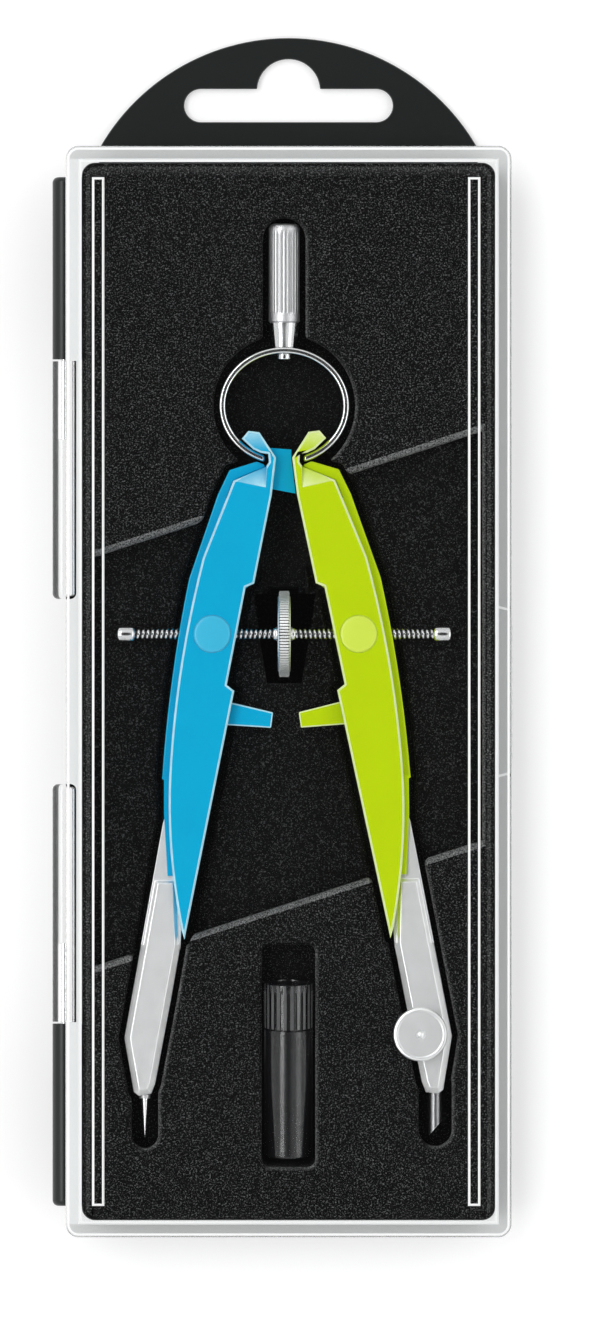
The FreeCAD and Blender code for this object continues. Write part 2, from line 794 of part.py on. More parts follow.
def make_box_tube():
    tube = rod_y(box_radius, box_tube_length, box_x, box_bottom, box_axis_z)
    tube = tube.makeFillet(box_end_round, edges_at(tube, lambda p: abs(p.y - box_bottom) < 1e-6))
    tube = tube.fuse(rod_y(box_neck_radius, box_neck_length, box_x, box_cap_y, box_axis_z))
    bore = rod_y(box_bore, box_tube_length + box_neck_length, box_x, box_bottom + box_bottom_wall, box_axis_z)
    return tipped(tube.cut(bore).removeSplitter())


def make_box_cap():
    start = box_cap_y + cap_stop_gap
    length = box_cap_length - cap_stop_gap
    cap = rod_y(box_radius, length, box_x, start, box_axis_z)
    hollow = rod_y(box_neck_radius + box_neck_clearance, box_neck_length, box_x, start, box_axis_z)
    dish_y = start + length - cap_dish_depth
    dish = rod_y(box_radius - cap_dish_wall, cap_dish_depth, box_x, dish_y, box_axis_z)
    width = math.pi * box_radius / cap_rib_count
    rim = box_axis_z + box_radius
    groove = block(box_x - width / 2, box_x + width / 2, start, start + length - cap_ring_length,
                   rim - cap_rib_height, rim + cap_rib_height)
    grooves = copies_round(groove, vector(box_x, start, box_axis_z), vector(0, 1), cap_rib_count)
    return tipped(cap.cut([hollow, dish] + grooves))


def make_spare_leads():
    leads = []
    for number in range(spare_lead_count):
        angle = math.radians(360 * number / spare_lead_count - 90)
        leads.append(rod_y(lead_radius, spare_lead_length, box_x + spare_lead_ring * math.cos(angle),
                           box_bottom + box_bottom_wall, box_axis_z + spare_lead_ring * math.sin(angle)))
    return [tipped(lead) for lead in leads]


os.makedirs("parts", exist_ok=True)
save("base_tray", make_tray())
save("lid", make_lid())
save("hinge_pins", make_hinge_pins())
save("hang_tab", make_hang_tab())
save("flocked_insert", make_insert())
save("handle_grip", make_grip())
save("handle_neck", make_neck())
save("ring_spring", make_ring())
save("ring_nut", make_ring_nut())
save("pivot_pin", make_pivot_pin())
for side in SIDES:
    save(f"{side}_front_cover", make_front_cover(side))
    save(f"{side}_rear_cover", make_rear_cover(side))
    save(f"{side}_shank", make_shank(side))
    save(f"{side}_trunnion_nut", make_trunnion_nut(side))
    save(f"{side}_button", make_button(side))
    save(f"{side}_release_lever", make_lever(side))
    save(f"{side}_lever_spring", make_lever_spring(side))
save("spindle", make_spindle())
save("spindle_end_caps", make_end_caps())
save("spindle_collars", make_collars())
save("adjusting_wheel", make_wheel())
save("needle", make_needle())
save("needle_ferrule", make_ferrule())
save("compass_lead", make_lead())
save("thumb_screw", make_thumb_screw())
save("clamp_nut", make_clamp_nut())
save("lead_box_tube", make_box_tube())
save("lead_box_cap", make_box_cap())
save("spare_leads", make_spare_leads())
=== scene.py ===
# %% [markdown]
# # A drafting instrument case
# The case lies on its back: a clear hinged lid over a black tray, a flocked insert, a bow compass with
# one blue and one lime leg, and a small round lead box. The solid model gives every place and size, so it
# is loaded first and never moved. All that follows dresses those solids, or models a finer piece in their
# place.

# %% Load the frame
import bpy
import json
import math
from mathutils import Matrix, Vector


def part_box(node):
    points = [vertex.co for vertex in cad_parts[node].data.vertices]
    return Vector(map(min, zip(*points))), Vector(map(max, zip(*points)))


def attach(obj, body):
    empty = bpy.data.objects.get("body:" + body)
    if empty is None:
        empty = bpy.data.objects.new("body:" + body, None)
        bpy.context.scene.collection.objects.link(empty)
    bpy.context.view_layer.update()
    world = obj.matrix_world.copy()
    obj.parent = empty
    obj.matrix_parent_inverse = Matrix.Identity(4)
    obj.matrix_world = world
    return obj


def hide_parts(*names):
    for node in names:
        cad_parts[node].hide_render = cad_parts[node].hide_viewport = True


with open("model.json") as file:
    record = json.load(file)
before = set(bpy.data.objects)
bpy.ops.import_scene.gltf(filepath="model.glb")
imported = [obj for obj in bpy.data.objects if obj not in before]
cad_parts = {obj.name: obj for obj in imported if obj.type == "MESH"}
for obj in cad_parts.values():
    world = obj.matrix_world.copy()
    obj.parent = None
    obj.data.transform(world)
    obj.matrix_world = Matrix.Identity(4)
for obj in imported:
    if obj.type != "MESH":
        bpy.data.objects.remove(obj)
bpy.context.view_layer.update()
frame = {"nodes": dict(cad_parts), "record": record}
nodes = frame["nodes"]
MM = 0.001
X_AXIS, Y_AXIS, Z_AXIS = Vector((1, 0, 0)), Vector((0, 1, 0)), Vector((0, 0, 1))
print("nodes in the frame:", len(nodes))


# %% [markdown]
# ## Camera
# The photograph looks straight down with hardly any perspective. A camera without perspective could be
# used, but a real lens always has a little, so this is a long lens far above the case. One pixel is
# 0.1535 mm on the case, so the height of the picture fixes the distance for a chosen lens.

# %% Camera above the case
PIXEL = 0.1535 * MM
PICTURE_WIDTH, PICTURE_HEIGHT = 606, 1319
CASE_MIDDLE_PX, CASE_MIDDLE_PY = 288.5, 691.5
SENSOR = 36.0
LENS = 650.0
FOCUS_HEIGHT = 12 * MM
CLIP_END = 50

camera_data = bpy.data.cameras.new("camera")
camera_data.sensor_fit = "VERTICAL"
camera_data.sensor_height = SENSOR
camera_data.sensor_width = SENSOR
camera_data.lens = LENS
camera_data.clip_end = CLIP_END
camera = bpy.data.objects.new("camera", camera_data)
bpy.context.collection.objects.link(camera)
camera_distance = PICTURE_HEIGHT * PIXEL * LENS / SENSOR
camera.location = ((PICTURE_WIDTH / 2 - CASE_MIDDLE_PX) * PIXEL,
                   (CASE_MIDDLE_PY - PICTURE_HEIGHT / 2) * PIXEL,
                   FOCUS_HEIGHT + camera_distance)
bpy.context.scene.camera = camera
bpy.context.scene.view_settings.view_transform = "Standard"
print("camera distance %.2f m" % camera_distance)


# %% [markdown]
# ## Node helpers
# Materials are built from nodes. Two helpers keep that short: one adds a node with its options and
# values, the other starts a material and hands back its tree.

# %% Helpers for node trees
def add_node(tree, kind, values=None, **options):
    """Add a node, set its options and then the values of its inputs."""
    node = tree.nodes.new(kind)
    for option, setting in options.items():
        setattr(node, option, setting)
    for socket, value in (values or {}).items():
        node.inputs[socket].default_value = value
    return node


def new_material(name):
    """Start a material with a Principled shader joined to its output."""
    material = bpy.data.materials.new(name)
    material.use_nodes = True
    tree = material.node_tree
    return material, tree, tree.nodes["Principled BSDF"]


# %% [markdown]
# ## Floor
# The floor is a plain pale sheet, as in a product picture. Stronger lamps would whiten it, but they would
# burn out the case too. So it adds a little light of its own to rays from the camera, straight or by way
# of the lid or a mirror. It comes out white, still takes the shadow of the case and hardly lights it.

# %% Floor
FLOOR_SIZE = 30
FLOOR_DROP = 0.2 * MM
FLOOR_GREY = 0.7
FLOOR_GLOW = 0.36

bpy.ops.object.select_all(action="DESELECT")
bpy.ops.mesh.primitive_plane_add(size=FLOOR_SIZE, location=(0, 0, -FLOOR_DROP))
floor = bpy.context.object
floor.name = "floor"
material, tree, shader = new_material("pale_floor")
tree.nodes.remove(shader)
paper = add_node(tree, "ShaderNodeBsdfDiffuse", {"Color": (FLOOR_GREY, FLOOR_GREY, FLOOR_GREY, 1)})
glow = add_node(tree, "ShaderNodeEmission", {"Strength": FLOOR_GLOW})
path = add_node(tree, "ShaderNodeLightPath")
seen = add_node(tree, "ShaderNodeMath", operation="MAXIMUM")
mirrored = add_node(tree, "ShaderNodeMath", operation="MAXIMUM")
no_glow = add_node(tree, "ShaderNodeEmission", {"Strength": 0})
shown = add_node(tree, "ShaderNodeMixShader")
total = add_node(tree, "ShaderNodeAddShader")
tree.links.new(path.outputs["Is Glossy Ray"], mirrored.inputs[0])
tree.links.new(path.outputs["Is Transmission Ray"], mirrored.inputs[1])
tree.links.new(path.outputs["Is Camera Ray"], seen.inputs[0])
tree.links.new(mirrored.outputs[0], seen.inputs[1])
tree.links.new(seen.outputs[0], shown.inputs[0])
tree.links.new(no_glow.outputs[0], shown.inputs[1])
tree.links.new(glow.outputs[0], shown.inputs[2])
tree.links.new(paper.outputs[0], total.inputs[0])
tree.links.new(shown.outputs[0], total.inputs[1])
tree.links.new(total.outputs[0], tree.nodes["Material Output"].inputs["Surface"])
floor.data.materials.append(material)
print("floor", FLOOR_SIZE, "m wide")

# %% [markdown]
# ## Room and light
# The room is evenly pale, with a small dark patch straight overhead where the camera would hang. A
# picture of a studio could be wrapped round the scene, but a plain formula does enough: polished metal
# shows white with a thin dark line, and from above the flat lid mirrors only the dark patch. Two soft
# boxes left and right of the lens add the shading and the shadow.

# %% Room and soft boxes
ROOM_LEVEL = 0.85
ROOM_OVERHEAD = 0.03
PATCH_EDGE, PATCH_MIDDLE = 0.9, 0.975

world = bpy.data.worlds.new("studio")
world.use_nodes = True
bpy.context.scene.world = world
tree = world.node_tree
place = add_node(tree, "ShaderNodeTexCoord")
height = add_node(tree, "ShaderNodeSeparateXYZ")
patch = {"From Min": PATCH_EDGE, "From Max": PATCH_MIDDLE, "To Min": ROOM_LEVEL, "To Max": ROOM_OVERHEAD}
shade = add_node(tree, "ShaderNodeMapRange", patch, interpolation_type="SMOOTHSTEP")
tree.links.new(place.outputs["Generated"], height.inputs[0])
tree.links.new(height.outputs["Z"], shade.inputs["Value"])
tree.links.new(shade.outputs[0], tree.nodes["Background"].inputs["Color"])

SOFT_BOX_DISTANCE = 1.2


def soft_box(name, across, along, width, length, power):
    """Hang an area light at two tilts from overhead, in degrees, facing the case."""
    data = bpy.data.lights.new(name, "AREA")
    data.shape = "RECTANGLE"
    data.size = width
    data.size_y = length
    data.energy = power
    light = bpy.data.objects.new(name, data)
    bpy.context.collection.objects.link(light)
    spot = Vector((math.tan(math.radians(across)), math.tan(math.radians(along)), 1)).normalized()
    light.location = spot * SOFT_BOX_DISTANCE
    sideways = Y_AXIS.cross(spot).normalized()
    light.rotation_mode = "QUATERNION"
    light.rotation_quaternion = Matrix((sideways, spot.cross(sideways), spot)).transposed().to_quaternion()
    light.visible_camera = False
    print("%s at %s" % (name, [round(c, 2) for c in light.location]))


soft_box("key_light", across=-30, along=10, width=0.42, length=1.3, power=5.7)
soft_box("fill_light", across=50, along=0, width=0.5, length=1.3, power=2.5)


# %% [markdown]
# ## Shared surface effects
# Several finishes need the same fine grain for bump and roughness, or the same pale edges. Each could
# build its own, but a node group is built once and placed in a material with its own values. The flock's
# fibres are a group too. All use Object coordinates, so the grain rides with its piece.

# %% A new node group
def new_group(name, inputs, outputs):
    """Start a shader node group with named sockets."""
    group = bpy.data.node_groups.new(name, "ShaderNodeTree")
    for socket, value in inputs.items():
        made = group.interface.new_socket(socket, in_out="INPUT", socket_type="NodeSocketFloat")
        made.default_value = value
    for socket in outputs:
        group.interface.new_socket(socket, in_out="OUTPUT", socket_type="NodeSocketFloat")
    start = group.nodes.new("NodeGroupInput")
    end = group.nodes.new("NodeGroupOutput")
    return group, start, end


# %% Grain
def make_grain_group():
    """Fine grain and slow mottling, drawn out along X or Y for drawn and brushed metal."""
    sockets = {"Scale": 2000, "Stretch X": 1, "Stretch Y": 1}
    group, start, end = new_group("grain", sockets, ("Grain", "Mottle"))
    place = add_node(group, "ShaderNodeTexCoord")
    stretch = add_node(group, "ShaderNodeCombineXYZ", {"Z": 1.0})
    drawn = add_node(group, "ShaderNodeVectorMath", operation="MULTIPLY")
    fine = add_node(group, "ShaderNodeTexNoise", {"Detail": 3.0, "Roughness": 0.6})
    slow = add_node(group, "ShaderNodeTexNoise", {"Scale": 130.0, "Detail": 2.0})
    group.links.new(start.outputs["Stretch X"], stretch.inputs["X"])
    group.links.new(start.outputs["Stretch Y"], stretch.inputs["Y"])
    group.links.new(place.outputs["Object"], drawn.inputs[0])
    group.links.new(stretch.outputs[0], drawn.inputs[1])
    group.links.new(drawn.outputs[0], fine.inputs["Vector"])
    group.links.new(start.outputs["Scale"], fine.inputs["Scale"])
    group.links.new(place.outputs["Object"], slow.inputs["Vector"])
    group.links.new(fine.outputs["Fac"], end.inputs["Grain"])
    group.links.new(slow.outputs["Fac"], end.inputs["Mottle"])
    return group


grain_group = make_grain_group()
print("grain group with", len(grain_group.nodes), "nodes")


# %% Pale edges
def make_edge_group():
    """Pale edges: the edge attribute, a painted highlight on most pieces and wear on black, broken up a
    little by noise.
    """
    group, start, end = new_group("pale_edge", {"Strength": 1.0}, ("Edge",))
    painted = add_node(group, "ShaderNodeAttribute", attribute_name="edge")
    place = add_node(group, "ShaderNodeTexCoord")
    patch = add_node(group, "ShaderNodeTexNoise", {"Scale": 500.0, "Detail": 2.0})
    keep = add_node(group, "ShaderNodeMapRange", {"From Min": 0.3, "From Max": 0.6, "To Min": 0.75})
    highlight_and_wear = add_node(group, "ShaderNodeMath", operation="MULTIPLY")
    amount = add_node(group, "ShaderNodeMath", operation="MULTIPLY")
    group.links.new(place.outputs["Object"], patch.inputs["Vector"])
    group.links.new(patch.outputs["Fac"], keep.inputs["Value"])
    group.links.new(painted.outputs["Fac"], highlight_and_wear.inputs[0])
    group.links.new(keep.outputs[0], highlight_and_wear.inputs[1])
    group.links.new(highlight_and_wear.outputs[0], amount.inputs[0])
    group.links.new(start.outputs["Strength"], amount.inputs[1])
    group.links.new(amount.outputs[0], end.inputs["Edge"])
    return group


edge_group = make_edge_group()
print("pale edge group with", len(edge_group.nodes), "nodes")

# %% Flock fibres
TUFT_SHARE = 0.35


def make_flock_group():
    """Short fibres that stand every way: a few catch the light, and most stay dark."""
    group, start, end = new_group("flock", {"Fibre": 4200}, ("Speck", "Highlight_Fibres", "Height"))
    place = add_node(group, "ShaderNodeTexCoord")
    fibre = add_node(group, "ShaderNodeTexNoise", {"Detail": 2.0, "Roughness": 0.7})
    tuft = add_node(group, "ShaderNodeTexNoise", {"Scale": 900.0, "Detail": 2.0})
    lit = add_node(group, "ShaderNodeMapRange", {"From Min": 0.55, "From Max": 0.74})
    # Fibre noise that breaks up the painted highlights on the insert's rims.
    highlight_fibres = add_node(group, "ShaderNodeMapRange", {"From Min": 0.35, "From Max": 0.7})
    both = add_node(group, "ShaderNodeMath", {1: TUFT_SHARE}, operation="MULTIPLY_ADD")
    group.links.new(place.outputs["Object"], fibre.inputs["Vector"])
    group.links.new(place.outputs["Object"], tuft.inputs["Vector"])
    group.links.new(start.outputs["Fibre"], fibre.inputs["Scale"])
    group.links.new(fibre.outputs["Fac"], lit.inputs["Value"])
    group.links.new(fibre.outputs["Fac"], highlight_fibres.inputs["Value"])
    group.links.new(tuft.outputs["Fac"], both.inputs[0])
    group.links.new(fibre.outputs["Fac"], both.inputs[2])
    group.links.new(lit.outputs[0], end.inputs["Speck"])
    group.links.new(highlight_fibres.outputs[0], end.inputs["Highlight_Fibres"])
    group.links.new(both.outputs[0], end.inputs["Height"])
    return group


flock_group = make_flock_group()
print("flock group with", len(flock_group.nodes), "nodes")

# %% [markdown]
# ## Finishes
# Each finish gets its colour, a roughness that changes over the surface and, except on the polished lid,
# a bump at the real scale of its grain. What is the same all over, such as the plastic's refraction, is
# set on the shader. Four small tools join the groups to the shaders.

# %% Tools for the finishes
def place_group(tree, group, **values):
    """Place a node group in a material, with its own values."""
    node = tree.nodes.new("ShaderNodeGroup")
    node.node_tree = group
    for socket, value in values.items():
        node.inputs[socket.replace("_", " ")].default_value = value
    return node


def link_range(tree, source, target, low, high):
    """Carry a mask to a shader input, between two values."""
    span = add_node(tree, "ShaderNodeMapRange", {"To Min": low, "To Max": high})
    tree.links.new(source, span.inputs["Value"])
    tree.links.new(span.outputs[0], target)


def link_mix(tree, mask, first, second, target):
    """Carry a blend of two colours to a shader input."""
    blend = add_node(tree, "ShaderNodeMix", data_type="RGBA")
    for colour, socket in ((first, blend.inputs[6]), (second, blend.inputs[7])):
        if isinstance(colour, tuple):
            socket.default_value = (*colour, 1)
        else:
            tree.links.new(colour, socket)
    tree.links.new(mask, blend.inputs[0])
    if target:
        tree.links.new(blend.outputs[2], target)
    return blend.outputs[2]


def link_bump(tree, height, shader, strength, depth):
    """Carry a height to the shader's normal."""
    bump = add_node(tree, "ShaderNodeBump", {"Strength": strength, "Distance": depth})
    tree.links.new(height, bump.inputs["Height"])
    tree.links.new(bump.outputs[0], shader.inputs["Normal"])


# %% [markdown]
# ## Moulded plastics
# The blue and lime mouldings are satin with painted highlights along their edges, the tray is a dull black,
# and the lead box a deep gloss black with painted highlights on its sides and rib crests. One recipe makes
# them all, because they differ only in colour, shine and grain. A shader could look for edges by itself,
# but here an attribute of the mesh says where they are, so they stay where they were put.

# %% Moulded plastics
PLASTIC_MOTTLE = 0.93
ROUGH_LOW, ROUGH_HIGH = 0.85, 1.15
SKIN_DEPTH = 0.02 * MM


def moulded_plastic(name, colour, edge_colour, roughness, grain_scale, bump, shine):
    """Opaque moulding: slow mottling in its colour, a fine skin, and pale edges: wear on dull black,
    painted highlights elsewhere.
    """
    material, tree, shader = new_material(name)
    grain = place_group(tree, grain_group, Scale=grain_scale)
    edge = place_group(tree, edge_group)
    darker = tuple(PLASTIC_MOTTLE * part for part in colour)
    body = link_mix(tree, grain.outputs["Mottle"], darker, colour, None)
    link_mix(tree, edge.outputs["Edge"], body, edge_colour, shader.inputs["Base Color"])
    low, high = ROUGH_LOW * roughness, ROUGH_HIGH * roughness
    link_range(tree, grain.outputs["Grain"], shader.inputs["Roughness"], low, high)
    link_bump(tree, grain.outputs["Grain"], shader, bump, SKIN_DEPTH)
    shader.inputs["Specular IOR Level"].default_value = shine
    return material


# Painted highlights: the pale blue, pale lime and gloss edge colours stand in for light on edges and sides;
# the worn black is wear.
BLUE = (0.0, 0.405, 0.69)
# Painted light: the light blue here and the light lime below are the blue and lime painted lighter.
BLUE_PAINTED_LIT = (0.05, 0.50, 0.76)
BLUE_HIGHLIGHT = (0.50, 0.82, 0.94)
LIME = (0.52, 0.70, 0.0)
LIME_PAINTED_LIT = (0.68, 0.83, 0.085)
LIME_HIGHLIGHT = (0.83, 0.92, 0.48)
BLACK = (0.012, 0.014, 0.014)
WORN_BLACK = (0.05, 0.055, 0.055)
GLOSS_BLACK = (0.005, 0.005, 0.006)
GLOSS_HIGHLIGHT = (0.12, 0.12, 0.122)

# Name, colour, edge colour, roughness, grain scale, bump and shine
MOULDINGS = (
    ("blue_plastic", BLUE, BLUE_HIGHLIGHT, 0.22, 1800, 0.12, 0.35),
    ("light_blue_plastic", BLUE_PAINTED_LIT, BLUE_HIGHLIGHT, 0.24, 1800, 0.12, 0.35),
    ("lime_plastic", LIME, LIME_HIGHLIGHT, 0.22, 1800, 0.12, 0.35),
    ("light_lime_plastic", LIME_PAINTED_LIT, LIME_HIGHLIGHT, 0.24, 1800, 0.12, 0.35),
    ("black_plastic", BLACK, WORN_BLACK, 0.3, 4200, 0.3, 0.35),
    ("gloss_black_plastic", GLOSS_BLACK, GLOSS_HIGHLIGHT, 0.13, 1500, 0.02, 0.8),
)
finishes = {row[0]: moulded_plastic(*row) for row in MOULDINGS}
print("mouldings:", sorted(finishes))


# %% [markdown]
# ## Metals
# The shanks, the grip, the wheel and the thumb screw are satin, the ring and the spindle are plated, and
# pins and springs are steel. In a pale room the grooves of bright metal would fill with light, so two
# attributes of a piece help: one marks what is painted bright, as painted highlights on chamfers, rims and
# bevels and as a brighter tone elsewhere, and the other the roots and grooves that get painted shade.

# %% Metals
# Painted highlight colour, and painted shade colour for grooves and thread roots.
POLISH_AND_HIGHLIGHT = (0.98, 0.98, 0.98)
GROOVE_SHADE = (0.03, 0.03, 0.032)
METAL_MOTTLE = 0.9
GRAIN_DEPTH = 0.01 * MM


def metal(name, colour, roughness, spread, grain_scale, bump, stretch):
    """Bare or plated metal: painted highlights on edges, painted shade in grooves, and drawn marks where
    the grain is stretched.
    """
    material, tree, shader = new_material(name)
    shader.inputs["Metallic"].default_value = 1.0
    grain = place_group(tree, grain_group, Scale=grain_scale, Stretch_X=stretch[0], Stretch_Y=stretch[1])
    edge = place_group(tree, edge_group)
    darker = tuple(METAL_MOTTLE * part for part in colour)
    body = link_mix(tree, grain.outputs["Mottle"], darker, colour, None)
    # Painted highlights from the edge attribute, then painted shade in grooves from the second attribute.
    groove_shade = add_node(tree, "ShaderNodeAttribute", attribute_name="groove_shade")
    bright = link_mix(tree, edge.outputs["Edge"], body, POLISH_AND_HIGHLIGHT, None)
    link_mix(tree, groove_shade.outputs["Fac"], bright, GROOVE_SHADE, shader.inputs["Base Color"])
    low, high = roughness - spread, roughness + spread
    link_range(tree, grain.outputs["Grain"], shader.inputs["Roughness"], low, high)
    link_bump(tree, grain.outputs["Grain"], shader, bump, GRAIN_DEPTH)
    return material


# Name, colour, roughness and its spread, grain scale, bump, and stretch along X and Y
METALS = (
    ("chrome", (0.93, 0.93, 0.94), 0.10, 0.04, 900, 0.02, (1.0, 1.0)),
    ("satin_metal", (0.70, 0.70, 0.71), 0.42, 0.06, 3000, 0.10, (1.0, 0.08)),
    ("steel", (0.88, 0.88, 0.89), 0.24, 0.06, 2500, 0.05, (1.0, 0.1)),
    ("graphite", (0.30, 0.30, 0.31), 0.30, 0.08, 3000, 0.2, (1.0, 0.05)),
)
finishes.update({row[0]: metal(*row) for row in METALS})
print("metals:", [row[0] for row in METALS])


# %% [markdown]
# ## Flock
# The insert's flock is a black ground with grey fibre ends. Each fibre could be grown as a hair, but they
# are finer than a pixel, so noise at their scale gives the same speckle. The ends fade out with depth, as
# painted shade deep in the pockets. At rims the edge attribute brings paler fibres as painted highlights,
# and on the flange a paler strip.

# %% Flock
FLOCK_LOW, FLOCK_HIGH = 3.5 * MM, 11.0 * MM
FLOCK_ROUGH = (0.85, 1.0)
FIBRE_BUMP, FIBRE_DEPTH = 0.6, 0.15 * MM
FLOCK_DARK = (0.003, 0.003, 0.003)
FLOCK_TIP = (0.175, 0.178, 0.18)
FLOCK_RIM = (0.30, 0.303, 0.305)


def flock():
    """Black velvet flock: dark body, grey fibre ends, painted highlights on rims and painted shade in
    hollows.
    """
    material, tree, shader = new_material("black_flock")
    fibres = place_group(tree, flock_group)
    rim = place_group(tree, edge_group)
    place = add_node(tree, "ShaderNodeTexCoord")
    height = add_node(tree, "ShaderNodeSeparateXYZ")
    # Painted shade: the fibre ends fade out below the top, deepest in the pockets.
    raised = add_node(tree, "ShaderNodeMapRange", {"From Min": FLOCK_LOW, "From Max": FLOCK_HIGH})
    lit = add_node(tree, "ShaderNodeMath", operation="MULTIPLY")
    tree.links.new(place.outputs["Object"], height.inputs[0])
    tree.links.new(height.outputs["Z"], raised.inputs["Value"])
    tree.links.new(fibres.outputs["Speck"], lit.inputs[0])
    tree.links.new(raised.outputs[0], lit.inputs[1])
    body = link_mix(tree, lit.outputs[0], FLOCK_DARK, FLOCK_TIP, None)
    # Painted highlight: paler fibres where the edge attribute is set.
    pale_fibres = link_mix(tree, fibres.outputs["Highlight_Fibres"], FLOCK_DARK, FLOCK_RIM, None)
    link_mix(tree, rim.outputs["Edge"], body, pale_fibres, shader.inputs["Base Color"])
    link_range(tree, fibres.outputs["Speck"], shader.inputs["Roughness"], *FLOCK_ROUGH)
    link_bump(tree, fibres.outputs["Height"], shader, FIBRE_BUMP, FIBRE_DEPTH)
    shader.inputs["Sheen Weight"].default_value = 0.015
    shader.inputs["Sheen Roughness"].default_value = 0.35
    shader.inputs["Specular IOR Level"].default_value = 0.05
    return material


finishes["black_flock"] = flock()
print("flock lit from", FLOCK_LOW, "to", FLOCK_HIGH, "m")


# %% [markdown]
# ## Clear plastic
# The lid is clear and polished, and some of its edges get a pale matt finish as painted highlights. A
# shader that only refracts would throw a shadow as if it were solid. So both finishes let shadow and
# diffuse rays straight through, and what lies in the case is lit as under a thin clear lid.

# %% Clear plastic
CLEAR_TINT = (0.98, 0.985, 0.985, 1)
CLEAR_LOW, CLEAR_HIGH = (0.97, 0.98, 0.98), (0.99, 0.995, 0.995)
CLEAR_ROUGH = (0.005, 0.03)


def let_light_through(tree, shader):
    """Open a material to shadow and diffuse rays, so the light reaches what lies under it."""
    open_way = add_node(tree, "ShaderNodeBsdfTransparent", {"Color": CLEAR_TINT})
    path = add_node(tree, "ShaderNodeLightPath")
    ways = add_node(tree, "ShaderNodeMath", operation="MAXIMUM")
    choice = add_node(tree, "ShaderNodeMixShader")
    tree.links.new(path.outputs["Is Shadow Ray"], ways.inputs[0])
    tree.links.new(path.outputs["Is Diffuse Ray"], ways.inputs[1])
    tree.links.new(ways.outputs[0], choice.inputs[0])
    tree.links.new(shader.outputs[0], choice.inputs[1])
    tree.links.new(open_way.outputs[0], choice.inputs[2])
    tree.links.new(choice.outputs[0], tree.nodes["Material Output"].inputs["Surface"])


def clear_plastic():
    """Clear polished lid, which refracts what is seen through it."""
    material, tree, shader = new_material("clear_plastic")
    grain = place_group(tree, grain_group, Scale=400)
    link_mix(tree, grain.outputs["Mottle"], CLEAR_LOW, CLEAR_HIGH, shader.inputs["Base Color"])
    link_range(tree, grain.outputs["Grain"], shader.inputs["Roughness"], *CLEAR_ROUGH)
    shader.inputs["Transmission Weight"].default_value = 1.0
    shader.inputs["IOR"].default_value = 1.5
    let_light_through(tree, shader)
    return material


finishes["clear_plastic"] = clear_plastic()
print("finishes:", len(finishes))

# %% Pale matt edges, painted light
PAINTED_LIGHT_DARKER, PAINTED_LIGHT_LIGHTER, PAINTED_LIGHT_TINT = 0.04, 0.03, 0.01
PAINTED_LIGHT_ROUGH = (0.45, 0.65)
PAINTED_LIGHT_BUMP = 0.2


def painted_light_finish(name, grey):
    """Pale matt finish on the clear lid, painted light for its white edge lines and the grey band of its
    walls.
    """
    material, tree, shader = new_material(name)
    grain = place_group(tree, grain_group, Scale=3000)
    levels = (grey - PAINTED_LIGHT_DARKER, grey + PAINTED_LIGHT_LIGHTER)
    low, high = ((level, level + PAINTED_LIGHT_TINT, level + PAINTED_LIGHT_TINT) for level in levels)
    link_mix(tree, grain.outputs["Grain"], low, high, shader.inputs["Base Color"])
    link_range(tree, grain.outputs["Grain"], shader.inputs["Roughness"], *PAINTED_LIGHT_ROUGH)
    link_bump(tree, grain.outputs["Grain"], shader, PAINTED_LIGHT_BUMP, SKIN_DEPTH)
    let_light_through(tree, shader)
    return material


# Painted highlight for the lid's edges, and painted light for the grey band at the bottom of its walls.
edge_highlight_finish = painted_light_finish("painted_light_finish", grey=0.9)
painted_wall_band = painted_light_finish("painted_wall_band", grey=0.76)
print("matt edges:", edge_highlight_finish.name, painted_wall_band.name)

# %% [markdown]
# ## Dress the solids
# Every solid first gets the finish of its own slot in the record, so nothing is left in a plain colour. A
# solid that no finer piece replaces keeps this look.

# %% A finish for every solid
slot_of = {part["node"]: part["material_slot"] for part in frame["record"]["subparts"]}
body_of = {}
for body, members in frame["record"]["behaviour"]["bodies"].items():
    for member in members:
        body_of[member] = body
for name, solid in nodes.items():
    solid.data.materials.clear()
    solid.data.materials.append(finishes[slot_of[name]])
print("dressed", len(nodes), "solids")

# %% [markdown]
# ## Soften the edges of the solids
# A moulding or a stamped part never has a perfectly sharp edge, and it is the small round along each edge
# that catches the light. A shader can fake that round, but the outline would stay sharp, so it is
# modelled. A copy of a solid's mesh is merged first, because the file it comes from splits it at every
# edge. Its flat faces are then joined again, and a Bevel modifier rounds the edges that are left.

# %% Clean copies
MERGE = 0.001 * MM
LEVEL = math.radians(0.5)


def select_only(*pieces):
    """Select these pieces alone, and make the first one active."""
    bpy.ops.object.select_all(action="DESELECT")
    for piece in pieces:
        piece.select_set(True)
    bpy.context.view_layer.objects.active = pieces[0]


def merged_copy(node, name):
    """Copy a solid's mesh and weld it into one clean surface."""
    piece = bpy.data.objects.new(name, nodes[node].data.copy())
    bpy.context.collection.objects.link(piece)
    piece.matrix_world = nodes[node].matrix_world
    select_only(piece)
    bpy.ops.object.transform_apply(location=True, rotation=True, scale=True)
    bpy.ops.mesh.customdata_custom_splitnormals_clear()
    bpy.ops.object.mode_set(mode="EDIT")
    bpy.ops.mesh.select_all(action="SELECT")
    bpy.ops.mesh.remove_doubles(threshold=MERGE)
    bpy.ops.mesh.dissolve_limited(angle_limit=LEVEL)
    bpy.ops.mesh.normals_make_consistent(inside=False)
    bpy.ops.object.mode_set(mode="OBJECT")
    return piece


def cut_across(piece, spot, normal):
    """Cut a piece along a plane, to gain a row of points there."""
    select_only(piece)
    bpy.ops.object.mode_set(mode="EDIT")
    bpy.ops.mesh.select_all(action="SELECT")
    bpy.ops.mesh.bisect(plane_co=spot, plane_no=normal)
    bpy.ops.object.mode_set(mode="OBJECT")


